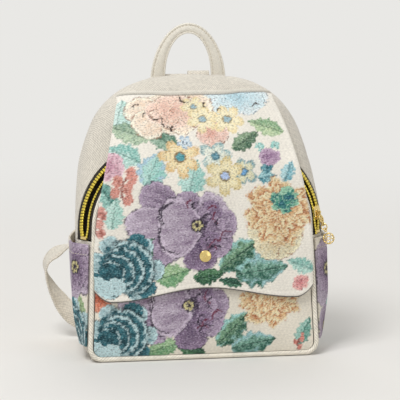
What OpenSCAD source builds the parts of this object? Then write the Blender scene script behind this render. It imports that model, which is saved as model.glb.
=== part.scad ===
// Small backpack of floral tapestry and cream canvas, standing on its base with flap shut and zip open.
// Lengths are in millimetres. +Z is up, the front faces -Y and the origin is the middle of the base.

/* [Front panel] */
// Half width of the front seam at the floor
front_half = 120; // [110:1:128]
// Half width of the front seam where its legs turn into the top corners
front_leg_half = 114; // [106:1:119]
// Height of the straight legs, measured along the panel
leg_h = 142; // [125:1:155]
// Radius of the front seam's top corners, which the zip follows
corner_r = 76; // [66:1:84]
// Radius of the bottom corners
foot_r = 12; // [8:1:16]
// Backward lean of the front, in degrees
lean = 4.5; // [2:0.5:6]
// How far the middle of the front swells forward
front_crown = 7; // [4:0.5:9]
// Thickness of a panel of cloth with its padding
cloth_t = 3; // [2:0.5:4]
// Radius of the corded piping
pipe_r = 2.6; // [2:0.1:3.2]

/* [Body] */
// Depth of the bag at the base, from front seam to back seam
base_depth = 114; // [100:1:126]
// How far the sides swell beyond the front legs
side_swell = 14; // [11:1:17]
// How far the back reaches out beyond the front legs
back_swell = 6; // [3:1:10]
// Rise of the shoulder line above the top of the front panel
body_rise = 64; // [54:1:68]
// Rise of the back panel's top above the top of the front panel
back_rise = 66; // [56:1:70]
// Forward lean of the back, in degrees
back_lean = 1.5; // [0:0.5:3]
// Thickness of the base panel
base_t = 3; // [2:0.5:4]

/* [Zip] */
// Visible width of each zip tape
tape_w = 5.4; // [4.5:0.1:6]
// Thickness of a tape
tape_t = 1; // [0.8:0.1:1.2]
// Width of a row of teeth
tooth_w = 2.8; // [2.4:0.1:3.2]
// Height of a row of teeth
tooth_h = 2.4; // [2:0.1:2.8]
// Distance from tooth to tooth
tooth_pitch = 3; // [2.6:0.1:4]
// Width of the open slit between the rows
slit_w = 5.2; // [4.6:0.1:6]
// Slant of the zip from the front plane, in degrees
strip_tilt = 52; // [46:1:58]
// Length of the zip's legs below the top corners
zip_leg_run = 14; // [12:0.5:18]
// Length of the slider
slider_len = 14; // [12:0.5:16]
// Length of the pull from its bar to its eye
pull_len = 13; // [11:0.5:16]
// Radius of the charm
charm_r = 7.5; // [6:0.5:8]

/* [Flap] */
// How far the flap's sides stay inside the front seam at the lower edge
flap_inset = 1.8; // [1:0.1:6]
// How much narrower each side of the flap is at its top
flap_taper = 34.5; // [28:0.5:38]
// Height of the flap's lowest edge
flap_low = 63; // [50:1:80]
// Rise of the bottom edge at the middle
flap_mid_rise = 13; // [6:1:18]
// Rise of the rounded bottom corners
flap_corner_rise = 12; // [8:1:16]
// Thickness of the flap with its turned edge
flap_t = 2.4; // [1.8:0.1:3]
// Clear space between the flap and the front panel
flap_stand = 4.2; // [3.8:0.1:5]
// Height of the snap
snap_h = 110; // [95:1:125]
// Radius of the snap's cap
snap_r = 6.2; // [5:0.1:7]

/* [Pockets] */
// Drop of the pockets' mouths below the zip's feet
pocket_drop = 4.6; // [4:0.2:16]
// Height of the pockets' lower seams above the round bottom corners
pocket_rise = 1.5; // [0.5:0.5:6]
// How far a pocket's mouth stands open
mouth_open = 4.6; // [4.4:0.2:8]
// Thickness of the pocket cloth
pocket_t = 2; // [1.6:0.1:2.6]

/* [Handle and straps] */
// Rise of the handle's middle line above the back's top
handle_rise = 56; // [45:1:66]
// Width of the handle at its feet
handle_foot_w = 16.5; // [13:0.5:18]
// Width of the handle at its crown
handle_crown_w = 11.5; // [10:0.5:14]
// Thickness of the handle
handle_t = 4.6; // [3.5:0.1:5.5]
// Width of a shoulder strap
strap_w = 23.5; // [22:0.5:30]
// Thickness of a shoulder strap
strap_t = 3; // [2:0.1:3.6]
// How far a strap bows out behind the back
strap_bow = 26; // [20:1:34]

/* [Hidden] */
$fn = 48;
canvas = "#ded5c7";
canvas_pale = "#e8e2d5";
tapestry = "#cbb9b4";
tape_black = "#2a2426";
gold = "#c9a84a";
overrun = 1;
seam_gap = 0.3;

// Front seam, in the leaning plane of the front: x across, v up the panel, w back into the bag
seam_rise = pipe_r + seam_gap;
leg_tilt = atan((front_half - front_leg_half) / leg_h);
turn_x = front_leg_half - corner_r * cos(leg_tilt);
turn_v = leg_h - corner_r * sin(leg_tilt);
front_top = turn_v + corner_r;
edge_inset = pipe_r + seam_gap;

// Zip, measured across its slanting strip from the front seam
front_tape_start = pipe_r + seam_gap;
front_row_start = front_tape_start + tape_w;
slit_start = front_row_start + tooth_w;
rear_row_start = slit_start + slit_w;
rear_tape_start = rear_row_start + tooth_w;
band_gap = 0.9;
band_start = rear_tape_start + tape_w + band_gap;
slit_mid = slit_start + slit_w / 2;
closed_gap = 0.6;
row_seat = 0.3;
zip_foot_v = leg_h - zip_leg_run;
zip_foot_z = zip_foot_v * cos(lean);

// Gusset: the front edge of the band, the shoulder line and the back seam
body_half = front_leg_half + side_swell;
body_h = front_top * cos(lean) + body_rise;
back_half = front_leg_half + back_swell;
back_h = front_top * cos(lean) + back_rise;
base_inset = 2;
base_half = front_half - base_inset;
mid_share = 0.42;
arch_side_power = 0.68;
arch_top_power = 5 / 7;
leg_turn = 3;
arc_turn = 77;
strip_share = 0.24;
swell_height_share = 0.6;
band_steps = 9;
side_rows = 8;
strip_cols = 2;
side_cols = 10;
side_row_power = 1.5;

function mix(a, b, t) = a + (b - a) * t;
function ease(t) = t * t * (3 - 2 * t);
function unit(v) = v / norm(v);

// A point of the front plane in the bag's frame
function front_point(x, v, w) =
    [x, -base_depth / 2 + v * sin(lean) + w * cos(lean), v * cos(lean) - w * sin(lean)];
function back_y(z) = base_depth / 2 - z * tan(back_lean);

// The zip's run, offset outward by u: q goes 0 to 1 up the right leg, to 2 round the corner, to 3 at the
// middle of the top, and on to 6 down the left side
function run_point(q, u) =
    q > 3 ? let (p = run_point(6 - q, u)) [-p[0], p[1]] :
    q <= 1 ? let (r = corner_r + u, s = (1 - q) * zip_leg_run)
        [turn_x + r * cos(leg_tilt) + s * sin(leg_tilt), turn_v + r * sin(leg_tilt) - s * cos(leg_tilt)] :
    q <= 2 ? let (r = corner_r + u, f = mix(leg_tilt, 90, q - 1)) [turn_x + r * cos(f), turn_v + r * sin(f)] :
    [turn_x * (3 - q), turn_v + corner_r + u];
function zip_point(q, across, out) =
    let (u = across * cos(strip_tilt) + out * sin(strip_tilt),
         w = across * sin(strip_tilt) - out * cos(strip_tilt), p = run_point(q, u))
    front_point(p[0], p[1], w);

// Half width of the front seam at height v, with its round bottom corners and round shoulders
function corner_cut(h) =
    h >= foot_r ? 0 : foot_r - sqrt(max(0, foot_r * foot_r - (foot_r - h) * (foot_r - h)));
function leg_half(v) = front_half - v * tan(leg_tilt) - corner_cut(max(0, v - seam_rise));
function seam_half(v) =
    v <= leg_h ? leg_half(v) : turn_x + sqrt(max(0, corner_r * corner_r - (v - turn_v) * (v - turn_v)));

// Arch of the shoulder line or the back seam: a squared round from a leg to the top
function arch_turn(q) = q <= 1 ? leg_turn * q :
    q <= 2 ? mix(leg_turn, arc_turn, q - 1) : mix(arc_turn, 90, q - 2);
function arch_point(q, half, top) =
    q > 3 ? let (p = arch_point(6 - q, half, top)) [-p[0], p[1]] :
    let (f = arch_turn(q))
    [half * pow(cos(f), arch_side_power), zip_foot_z + (top - zip_foot_z) * pow(sin(f), arch_top_power)];

// Curve from front to back through three points, the middle one at mid_share
function through(a, b, c, d) =
    a * ((d - mid_share) * (d - 1) / mid_share) + b * (d * (1 - d) / (mid_share * (1 - mid_share)))
    + c * (d * (d - mid_share) / (1 - mid_share));
mid_y = mix(front_point(0, zip_foot_v, band_start * sin(strip_tilt))[1], back_y(zip_foot_z), mid_share);
rear_stop = seam_gap;
function band_point(q, d) =
    let (m = arch_point(q, body_half, body_h), b = arch_point(q, back_half, back_h))
    through(zip_point(q, band_start, 0), [m[0], mid_y, m[1]], [b[0], back_y(b[1]) - rear_stop, b[1]], d);

// Right side below the zip, from the front seam at d = 0 to the back seam at d = 1
swell_height = zip_foot_z * swell_height_share;
function swell(z) = z >= swell_height ? 1 : 1 - pow(1 - z / swell_height, 2);
side_inset = edge_inset + 2 * seam_gap;
function side_front(z) = seam_half(z / cos(lean)) + side_inset * cos(strip_tilt);
function side_strip(z) = side_front(z) + (band_start - side_inset) * cos(strip_tilt) * swell(z);
function side_back(z) = mix(base_half, back_half, swell(z)) - corner_cut(max(0, z - base_t));
function side_x(z, d) = d < strip_share ? mix(side_front(z), side_strip(z), d / strip_share) :
    through(side_strip(z), mix(base_half, body_half, swell(z)), side_back(z),
        (d - strip_share) / (1 - strip_share));
function side_y(z, d) =
    let (v = z / cos(lean), a = front_point(0, v, side_inset * sin(strip_tilt))[1],
         b = front_point(0, v, band_start * sin(strip_tilt))[1], c = back_y(z) - rear_stop)
    d < strip_share ? mix(a, b, d / strip_share) : mix(b, c, (d - strip_share) / (1 - strip_share));
function side_turn(z, d) = (90 - strip_tilt) * swell(z) * max(0, 1 - d / (2 * strip_share));
function side_point(z, d, out) =
    [side_x(z, d) + out * cos(side_turn(z, d)), side_y(z, d) - out * sin(side_turn(z, d)), z];

// Solid skinned over rings of points. Each ring has an even count, and the rings are capped by a ladder.
module skin(rings, closed = false) {
    n = len(rings[0]);
    m = len(rings);
    last = (m - 1) * n;
    walls = [for (i = [0 : m - (closed ? 1 : 2)], j = [0 : n - 1])
        let (k = (i + 1) % m, a = i * n + j, b = i * n + (j + 1) % n, c = k * n + (j + 1) % n, d = k * n + j)
        each [[a, c, b], [a, d, c]]];
    caps = closed ? [] : [for (k = [0 : n / 2 - 2])
        let (a = k, b = k + 1, c = n - 2 - k, d = n - 1 - k)
        each [[a, b, c], [a, c, d], [last + a, last + c, last + b], [last + a, last + d, last + c]]];
    polyhedron([for (r = rings) each r], concat(walls, caps), convexity = 8);
}
// A ring made of a row of the outer face and the matching row of the inner face
function wall_ring(outer, inner) = concat(outer, [for (i = [len(inner) - 1 : -1 : 0]) inner[i]]);
function steps(n) = [for (i = [0 : n]) i / n];

module front_frame() {
    translate([0, -base_depth / 2, 0]) rotate([-lean, 0, 0]) children();
}
module back_frame() {
    translate([0, base_depth / 2, 0]) rotate([back_lean, 0, 0]) children();
}
// Frame on the zip at an angle round its right top corner: x across the strip, -y outward, z along the zip
module zip_frame(angle) {
    front_frame() translate([turn_x, 0, turn_v]) rotate([0, -angle, 0])
        translate([corner_r, 0, 0]) rotate([0, 0, strip_tilt]) children();
}

// Base: a flat panel with round corners
module base_panel() {
    depth = base_depth - 2 * edge_inset;
    color(canvas) linear_extrude(base_t) union() {
        square([2 * (base_half - foot_r), depth], center = true);
        square([2 * base_half, depth - 2 * foot_r], center = true);
        for (sx = [-1, 1], sy = [-1, 1])
            translate([sx * (base_half - foot_r), sy * (depth / 2 - foot_r)]) circle(foot_r);
    }
}

// Front panel: a crowned sheet inside the piping
panel_cols = 12;
foot_steps = 3;
leg_steps = 6;
arc_steps = 7;
panel_low = seam_rise + edge_inset;
function crown_at(x, v) =
    let (s = min(1, abs(x) / seam_half(v)), t = (2 * v - front_top) / front_top)
    front_crown * (1 - s * s) * (1 - pow(t, 4));
panel_rows = concat(
    [for (t = steps(foot_steps)) seam_rise + edge_inset + (foot_r - edge_inset) * (1 - cos(90 * t))],
    [for (i = [1 : leg_steps]) mix(seam_rise + foot_r, leg_h, i / leg_steps)],
    [for (i = [1 : arc_steps]) turn_v + (corner_r - edge_inset) * sin(mix(leg_tilt, 90, i / arc_steps))]);
function panel_half(v) =
    v > leg_h ? turn_x + sqrt(max(0, pow(corner_r - edge_inset, 2) - pow(v - turn_v, 2))) :
    let (h = v - panel_low, r = foot_r - edge_inset)
    front_half - v * tan(leg_tilt) - edge_inset - (h >= r ? 0 : r - sqrt(max(0, r * r - (r - h) * (r - h))));
module front_panel() {
    color(tapestry) skin([for (v = panel_rows)
        let (xs = [for (s = steps(panel_cols)) (2 * s - 1) * panel_half(v)])
        wall_ring([for (x = xs) front_point(x, v, -crown_at(x, v))],
            [for (x = xs) front_point(x, v, cloth_t - crown_at(x, v))])]);
}

// Back panel: a flat sheet in the outline of the back seam
back_arch_steps = 22;
module back_panel() {
    low = base_t + seam_gap;
    leg_zs = [for (t = steps(foot_steps)) low + foot_r * (1 - cos(90 * t))];
    right = concat([for (z = leg_zs) [side_back(z), z]], [[back_half, swell_height]],
        [for (t = steps(back_arch_steps)) arch_point(3 * t, back_half, back_h)]);
    left = [for (i = [len(right) - 2 : -1 : 0]) [-right[i][0], right[i][1]]];
    color(canvas) back_frame() translate([0, cloth_t, 0]) rotate([90, 0, 0])
        linear_extrude(cloth_t) polygon(concat(right, left));
}

// Sides below the zip
module side_sheet() {
    low = base_t + seam_gap;
    high = zip_foot_z - band_start * sin(lean);
    ds = concat([for (t = steps(strip_cols)) t * strip_share],
        [for (i = [1 : side_cols]) mix(strip_share, 1, i / side_cols)]);
    zs = [for (t = steps(side_rows)) mix(low, high, pow(t, side_row_power))];
    skin([for (z = zs)
        wall_ring([for (d = ds) side_point(z, d, 0)], [for (d = ds) side_point(z, d, -cloth_t)])]);
}
module side_right() { color(canvas) side_sheet(); }
module side_left() { color(canvas) mirror([1, 0, 0]) side_sheet(); }

// Top band: the gusset behind the zip, from one side over the top to the other
band_legs = 1;
band_arcs = 12;
band_tops = 2;
half_run = concat([for (t = [0 : band_legs - 1]) t / band_legs],
    [for (t = [0 : band_arcs - 1]) 1 + t / band_arcs], [for (t = [0 : band_tops]) 2 + t / band_tops]);
full_run = concat(half_run, [for (i = [len(half_run) - 2 : -1 : 0]) 6 - half_run[i]]);
// The inner face lies one cloth thickness toward a core line inside the bag
core_z = turn_v;
core_half = turn_x;
function inward(p) =
    p + cloth_t * unit([max(-core_half, min(core_half, p[0])), mid_y, min(p[2], core_z)] - p);
module top_band() {
    color(canvas) skin([for (q = full_run)
        let (row = [for (d = steps(band_steps)) band_point(q, d)])
        wall_ring(row, [for (p = row) inward(p)])]);
}

// Piping: a cord sewn in the front seam, a closed loop
pipe_sides = 6;
pipe_foot_turns = 4;
foot_mid_x = front_half - seam_rise * tan(leg_tilt) - foot_r;
module piping_front() {
    half = concat(
        [for (i = [0 : pipe_foot_turns]) let (f = mix(-90, leg_tilt, i / pipe_foot_turns))
            [foot_mid_x + foot_r * cos(f), seam_rise + foot_r + foot_r * sin(f), f]],
        [for (i = [0 : band_arcs]) let (f = mix(leg_tilt, 90, i / band_arcs))
            [turn_x + corner_r * cos(f), turn_v + corner_r * sin(f), f]]);
    path = concat(half, [for (i = [len(half) - 1 : -1 : 0]) [-half[i][0], half[i][1], 180 - half[i][2]]]);
    color(canvas_pale) skin([for (p = path) [for (k = [0 : pipe_sides - 1])
        let (a = 360 * (k + 0.5) / pipe_sides, u = pipe_r * cos(a), w = pipe_r * sin(a))
        front_point(p[0] + u * cos(p[2]), p[1] + u * sin(p[2]), w)]], closed = true);
}

// Zip: the rows stand apart round the top and close toward both feet
function closing(q) = (slit_w - closed_gap) / 2 * (1 - ease(min(1, min(q, 6 - q))));
module tape(start, front) {
    color(tape_black) skin([for (q = full_run)
        let (near = start - (front ? 0 : closing(q) - row_seat),
             far = start + tape_w + (front ? closing(q) - row_seat : 0))
        [zip_point(q, near, 0), zip_point(q, far, 0),
         zip_point(q, far, -tape_t), zip_point(q, near, -tape_t)]]);
}
module zip_tape_front() { tape(front_tape_start, true); }
module zip_tape_rear() { tape(rear_tape_start, false); }
leg_teeth = round(zip_leg_run / tooth_pitch);
arc_teeth = round((corner_r + slit_mid) * (90 - leg_tilt) * PI / 180 / tooth_pitch);
top_teeth = round(turn_x / tooth_pitch);
function tooth_run(count, first) = [for (i = [0 : 2 * count - 1]) first + i / (2 * count)];
half_teeth = concat(tooth_run(leg_teeth, 0), tooth_run(arc_teeth, 1), tooth_run(top_teeth, 2));
all_teeth = concat(half_teeth, [3], [for (i = [len(half_teeth) - 1 : -1 : 0]) 6 - half_teeth[i]]);
root_share = 0.62;
module teeth(start, front) {
    color(gold) skin([for (i = [0 : len(all_teeth) - 1])
        let (q = all_teeth[i], near = start + (front ? closing(q) : -closing(q)), far = near + tooth_w,
             size_share = i % 2 == 0 ? root_share : 1, h = tooth_h / 2 * size_share,
             lip = tooth_w * (1 - size_share) / 2)
        [zip_point(q, near + lip, h), zip_point(q, far - lip, h),
         zip_point(q, far - lip, -h), zip_point(q, near + lip, -h)]]);
}
module zip_teeth_front() { teeth(front_row_start, true); }
module zip_teeth_rear() { teeth(rear_row_start, false); }
// Stops: a clip over the closed end of the rows on each side
stop_len = 3;
stop_wall = 0.8;
stop_clear = 0.2;
module zip_stop() {
    half_w = tooth_w + closed_gap / 2 + stop_clear;
    height = tooth_h / 2 + stop_clear;
    p = run_point(0, 0);
    color(gold) front_frame() translate([p[0], 0, p[1]]) rotate([0, -leg_tilt, 0]) rotate([0, 0, strip_tilt])
        translate([slit_mid, 0, 0]) difference() {
            translate([-half_w - stop_wall, -height - stop_wall, 0])
                cube([2 * (half_w + stop_wall), height + stop_wall - tape_t / 2, stop_len]);
            translate([-half_w, -height, -overrun])
                cube([2 * half_w, height + overrun, stop_len + 2 * overrun]);
        }
}
module zip_stops() {
    zip_stop();
    mirror([1, 0, 0]) zip_stop();
}

// Slider: two plates joined by a post between the rows, with side flanges and a bridge for the pull
run_clear = 0.35;
plate_t = 1.2;
flange_t = 1;
slider_turn = 5;
slider_angle = leg_tilt + slider_turn;
slider_half = slit_w / 2 + tooth_w + run_clear + flange_t;
plate_inner = tooth_h / 2 + run_clear;
plate_outer = plate_inner + plate_t;
nose_share = 0.72;
bridge_r = 2.6;
bridge_hole_r = 1.5;
bridge_w = 2.2;
bar_r = 0.9;
bar_y = -(plate_outer + bar_r + run_clear);
module plate_outline() {
    nose = slider_half * nose_share;
    polygon([[-nose, -slider_len / 2], [nose, -slider_len / 2], [slider_half, -slider_len / 4],
        [slider_half, slider_len / 4], [nose, slider_len / 2], [-nose, slider_len / 2],
        [-slider_half, slider_len / 4], [-slider_half, -slider_len / 4]]);
}
module slider_plate(y) {
    translate([0, y, 0]) rotate([90, 0, 0]) linear_extrude(plate_t) plate_outline();
}
module zip_slider() {
    post_w = slit_w - 2 * run_clear;
    color(gold) zip_frame(slider_angle) translate([slit_mid, 0, 0]) {
        slider_plate(-plate_inner);
        slider_plate(plate_outer);
        // The post fills the slit, and runs a little into both plates
        translate([-post_w / 2, -plate_outer + plate_t / 2, -slider_len / 4])
            cube([post_w, 2 * plate_outer - plate_t, slider_len / 2]);
        // Bridge: a flat ring standing on the outer plate, with a foot at each end along the zip
        translate([-bridge_w / 2, bar_y, 0]) rotate([0, 90, 0]) difference() {
            union() {
                cylinder(r = bridge_r, h = bridge_w);
                translate([-bridge_r, 0, 0])
                    cube([2 * bridge_r, -bar_y - plate_inner - plate_t / 2, bridge_w]);
            }
            translate([0, 0, -overrun]) cylinder(r = bridge_hole_r, h = bridge_w + 2 * overrun);
        }
    }
}

// Pull: a pierced leaf of metal on two arms, with a bar through the bridge and an eye at its tip
pull_rest = 15;
pull_t = 1.4;
arm_w = 1.2;
arm_x = bridge_w / 2 + run_clear + arm_w / 2;
leaf_top = bridge_r + run_clear;
eye_r = 2.6;
eye_hole_r = 1.4;
leaf_r = 4.4;
leaf_hole_r = 1.1;
leaf_spread = 2.1;
leaf_z = -(leaf_top + leaf_r);
module pull_frame() {
    zip_frame(slider_angle) translate([slit_mid, bar_y, 0]) rotate([-pull_rest, 0, 0]) children();
}
module zip_pull() {
    color(gold) pull_frame() {
        translate([-arm_x - arm_w / 2, 0, 0]) rotate([0, 90, 0]) cylinder(r = bar_r, h = 2 * arm_x + arm_w);
        for (s = [-1, 1])
            translate([s * arm_x - arm_w / 2, -pull_t / 2, leaf_z]) cube([arm_w, pull_t, -leaf_z]);
        translate([0, pull_t / 2, 0]) rotate([90, 0, 0]) linear_extrude(pull_t) difference() {
            union() {
                translate([0, leaf_z]) circle(leaf_r);
                translate([0, -pull_len]) circle(eye_r);
            }
            translate([0, -pull_len]) circle(eye_hole_r);
            for (a = [0 : 90 : 270])
                translate([0, leaf_z]) rotate(a) translate([leaf_spread, 0]) circle(leaf_hole_r);
        }
    }
}

// Ring and charm, hanging on the pull's eye
wire_r = 0.6;
ring_r = 3.4;
ring_z = -pull_len - ring_r;
loop_r = 2.2;
loop_z = ring_z - ring_r;
charm_z = loop_z - loop_r - charm_r;
charm_wall = 1;
belt_holes = 10;
belt_hole_r = 1.7;
neck_r = 1.5;
module wire_ring(r) { rotate_extrude() translate([r, 0]) circle(wire_r); }
module pull_ring() {
    color(gold) pull_frame() translate([0, 0, ring_z]) rotate([0, 90, 0]) wire_ring(ring_r);
}
module charm() {
    color(gold) pull_frame() {
        translate([0, 0, charm_z]) difference() {
            sphere(charm_r);
            sphere(charm_r - charm_wall);
            for (i = [0 : belt_holes - 1])
                rotate([90, 0, 360 * i / belt_holes]) translate([0, 0, charm_r - 2 * charm_wall])
                    cylinder(r = belt_hole_r, h = 3 * charm_wall);
        }
        translate([0, 0, charm_z + charm_r - charm_wall]) cylinder(r = neck_r, h = charm_wall + loop_r / 4);
        translate([0, 0, loop_z]) rotate([90, 0, 0]) wire_ring(loop_r);
    }
}

// Flap: follows the front with a clear space, then curves back over the zip to its seam on the top band
flap_half_low = seam_half(flap_low) - flap_inset;
flap_join_drop = 36.8;
flap_join_v = front_top - flap_join_drop;
flap_taper_rise = 17;
flap_low_v = flap_low + flap_taper_rise;
flap_corner_q = 1.75;
flap_flat_share = 0.556;
flap_seam_share = 0.32;
flap_end_share = 0.55;
seam_bend_power = 3;
join_pull = 44;
join_step = 1;
seam_pull = 26;
seam_drop = 42;
seam_drop_end = 20;
seam_face = 55;
flap_cols_half_shares = [0, 0.12, 0.25, 0.38, 0.5, 0.62, 0.74, 0.84, 0.91, 0.96, 1];
flap_low_rows = 8;
flap_high_rows = 6;
corner_share = 0.84;
taper_power = 1.5;
flap_col_shares = concat([for (i = [len(flap_cols_half_shares) - 1 : -1 : 1]) -flap_cols_half_shares[i]],
    flap_cols_half_shares);
flap_top_z = band_point(3, flap_seam_share)[2];
function flap_half(v) =
    flap_half_low - flap_taper * pow(max(0, (v - flap_low_v) / (flap_top_z - flap_low_v)), taper_power);
function flap_edge(s) = let (a = abs(s)) a <= corner_share ?
    flap_low + flap_mid_rise * (1 + cos(180 * a / corner_share)) / 2 :
    flap_low + flap_corner_rise * pow((a - corner_share) / (1 - corner_share), 2);
function flap_crown(x, v) =
    let (s = min(1, abs(x) / seam_half(min(v, leg_h))), t = min(0, (2 * v - front_top) / front_top))
    front_crown * (1 - s * s) * (1 - pow(t, 4));
function flap_low_point(s, v, out) =
    let (x = s * flap_half(v)) front_point(x, v, -flap_crown(x, v) - flap_stand - out);
function flap_q(s) = s < 0 ? 6 - flap_q(-s) : s < flap_flat_share ? 3 - s / flap_flat_share :
    mix(2, flap_corner_q, (s - flap_flat_share) / (1 - flap_flat_share));
function flap_seam_point(s) =
    band_point(flap_q(s), mix(flap_seam_share, flap_end_share, pow(abs(s), seam_bend_power)));
function face(angle, out) = [0, -out * cos(angle), out * sin(angle)];
function flap_high_point(s, t, out) =
    let (a = flap_low_point(s, flap_join_v, 0),
         rise = unit(a - flap_low_point(s, flap_join_v - join_step, 0)),
         e = flap_seam_point(s) + face(seam_face, seam_gap),
         drop = mix(seam_drop, seam_drop_end, s * s),
         b = a + join_pull * rise, c = e + seam_pull * [0, -cos(drop), -sin(drop)], r = 1 - t)
    a * r * r * r + b * 3 * r * r * t + c * 3 * r * t * t + e * t * t * t
    + face(mix(lean, seam_face, t), out);
function flap_row(i, out) = [for (s = flap_col_shares) i <= flap_low_rows ?
    flap_low_point(s, mix(flap_edge(s), flap_join_v, i / flap_low_rows), out) :
    flap_high_point(s, (i - flap_low_rows) / flap_high_rows, out)];
module flap_sheet() {
    skin([for (i = [0 : flap_low_rows + flap_high_rows]) wall_ring(flap_row(i, flap_t), flap_row(i, 0))]);
}
module flap() {
    color(tapestry) difference() {
        flap_sheet();
        snap_frame() translate([0, 0, -flap_t - overrun])
            cylinder(r = shank_r + seam_gap, h = 2 * (flap_t + overrun));
    }
}

// Snap: z runs out of the bag, from the outer face of the flap
shank_r = 1.6;
cap_h = 2.6;
cap_rim = 1.1;
rim_r = 0.7;
socket_r = 5.2;
socket_h = 2.2;
stud_hole_r = 2.1;
stud_r = 1.7;
stud_base_r = 5;
stud_base_t = 0.9;
snap_depth = flap_stand + crown_at(0, snap_h) + flap_t;
module snap_frame() {
    front_frame() translate([0, -snap_depth, snap_h]) rotate([90, 0, 0]) children();
}
module snap_cap() {
    color(gold) snap_frame() translate([0, 0, seam_gap]) {
        rotate_extrude() {
            intersection() {
                translate([0, cap_h - cap_dome_r]) circle(cap_dome_r);
                square([snap_r - rim_r, cap_h]);
            }
            square([snap_r - rim_r, cap_rim]);
            translate([snap_r - rim_r, rim_r]) circle(rim_r);
        }
        translate([0, 0, -flap_t - 2 * seam_gap - socket_wall])
            cylinder(r = shank_r, h = flap_t + 2 * seam_gap + socket_wall + cap_rim / 2);
    }
}
cap_dome_r = (pow(snap_r - rim_r, 2) + pow(cap_h - cap_rim, 2)) / (2 * (cap_h - cap_rim));
socket_wall = 0.8;
module snap_socket() {
    color(gold) snap_frame() translate([0, 0, -flap_t - seam_gap - socket_h]) difference() {
        cylinder(r = socket_r, h = socket_h);
        translate([0, 0, -overrun]) cylinder(r = stud_hole_r, h = socket_h - socket_wall + overrun);
        translate([0, 0, -overrun]) cylinder(r = shank_r + seam_gap, h = socket_h + 2 * overrun);
    }
}
module snap_stud() {
    stud_top = flap_stand - seam_gap - socket_wall - 2 * seam_gap;
    color(gold) snap_frame() translate([0, 0, -flap_t - flap_stand + seam_gap]) {
        cylinder(r = stud_base_r, h = stud_base_t);
        cylinder(r = stud_r, h = stud_top);
    }
}

// Side pockets: a sheet sewn to the side along three edges, standing open at the mouth
pocket_foot = seam_rise + foot_r + pocket_rise;
pocket_top = zip_foot_z - pocket_drop;
pocket_front_share = 0.06;
pocket_back_share = 0.97;
pocket_cols = 13;
pocket_rows = 7;
pocket_seat = 1.1;
mouth_power = 1.2;
mouth_round_power = 1.5;
function pocket_stand(z, t) =
    let (rise = (z - pocket_foot) / (pocket_top - pocket_foot))
    pocket_seat + mouth_open * pow(sin(180 * t), mouth_round_power) * pow(rise, mouth_power);
function pocket_point(z, t, out) =
    side_point(z, mix(pocket_front_share, pocket_back_share, t), pocket_stand(z, t) + out);
module pocket_sheet() {
    zs = [for (t = steps(pocket_rows)) mix(pocket_foot, pocket_top, t)];
    skin([for (z = zs) wall_ring([for (t = steps(pocket_cols)) pocket_point(z, t, pocket_t)],
        [for (t = steps(pocket_cols)) pocket_point(z, t, 0)])]);
}
module pocket_right() { color(tapestry) pocket_sheet(); }
module pocket_left() { color(tapestry) mirror([1, 0, 0]) pocket_sheet(); }

// Handle: a flat canvas band bent on edge, sewn to the top of the back
handle_half = strap_w + 3 * seam_gap + handle_foot_w / 2;
handle_sew = 18;
handle_steps = 18;
handle_edge_share = 0.6;
function handle_ring(x, v, tilt, width) =
    let (y = cloth_t + seam_gap, e = handle_t * (1 - handle_edge_share) / 2, r = width / 2)
    [for (p = [[-r, y + e], [-r + e, y], [r - e, y], [r, y + e],
               [r, y + handle_t - e], [r - e, y + handle_t], [-r + e, y + handle_t], [-r, y + handle_t - e]])
        [x + p[0] * cos(tilt), p[1], v + p[0] * sin(tilt)]];
module handle() {
    foot = back_h - handle_sew;
    bend = [for (i = [0 : handle_steps]) let (f = 180 * i / handle_steps)
        handle_ring(handle_half * cos(f), back_h + handle_rise * sin(f), f,
            mix(handle_foot_w, handle_crown_w, sin(f)))];
    color(canvas_pale) back_frame() skin(concat(
        [handle_ring(handle_half, foot, 0, handle_foot_w)], bend,
        [handle_ring(-handle_half, foot, 180, handle_foot_w)]));
}

// Shoulder straps, in the back's frame. Places are shares of the way from the strap's sewn end out to the
// back's edge, of the strap's bow and of the back's height. The last three numbers point out of the strap's
// outer face.
strap_top = strap_w / 2 + seam_gap;
left_route_shares = [
    [0, 0, 0.95, 0, 1, 0], [0, 0.04, 0.985, 0, 0.9, 0.3], [0, 0.22, 1.015, 0, 0.1, 1],
    [0.01, 0.5, 1, 0, 0.9, 0.6], [0.07, 0.75, 0.93, 0, 1, 0.1], [0.22, 0.95, 0.78, 0, 1, 0],
    [0.44, 1, 0.59, 0, 1, 0.1], [0.73, 1, 0.435, 0, 0.8, 0.5], [1, 0.95, 0.36, 0, 0.3, 0.9],
    [1.19, 0.85, 0.325, -0.3, -0.2, 0.9], [1.3, 0.72, 0.28, -1, -0.1, 0.2],
    [1.28, 0.6, 0.225, -0.9, 0.2, -0.4], [1.2, 0.48, 0.165, -0.6, 0.5, -0.6],
    [1.11, 0.32, 0.115, -0.4, 0.8, -0.4], [0.99, 0.12, 0.078, -0.1, 1, -0.2], [0.84, 0, 0.065, 0, 1, 0]];
right_route_shares = [
    [0, 0, 0.95, 0, 1, 0], [0, 0.04, 0.985, 0, 0.9, 0.3], [0, 0.22, 1.025, 0, 0.1, 1],
    [0.01, 0.5, 1.01, 0, 0.9, 0.6], [0.07, 0.75, 0.93, 0, 1, 0.1], [0.2, 0.95, 0.8, 0, 1, 0],
    [0.35, 1, 0.64, 0, 1, 0], [0.51, 1, 0.48, 0, 1, 0], [0.64, 0.85, 0.33, 0, 1, 0],
    [0.74, 0.5, 0.2, 0, 1, 0], [0.8, 0.14, 0.115, 0, 1, 0], [0.82, 0, 0.065, 0, 1, 0]];
strap_subs = 2;
strap_edge_share = 0.25;
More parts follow.
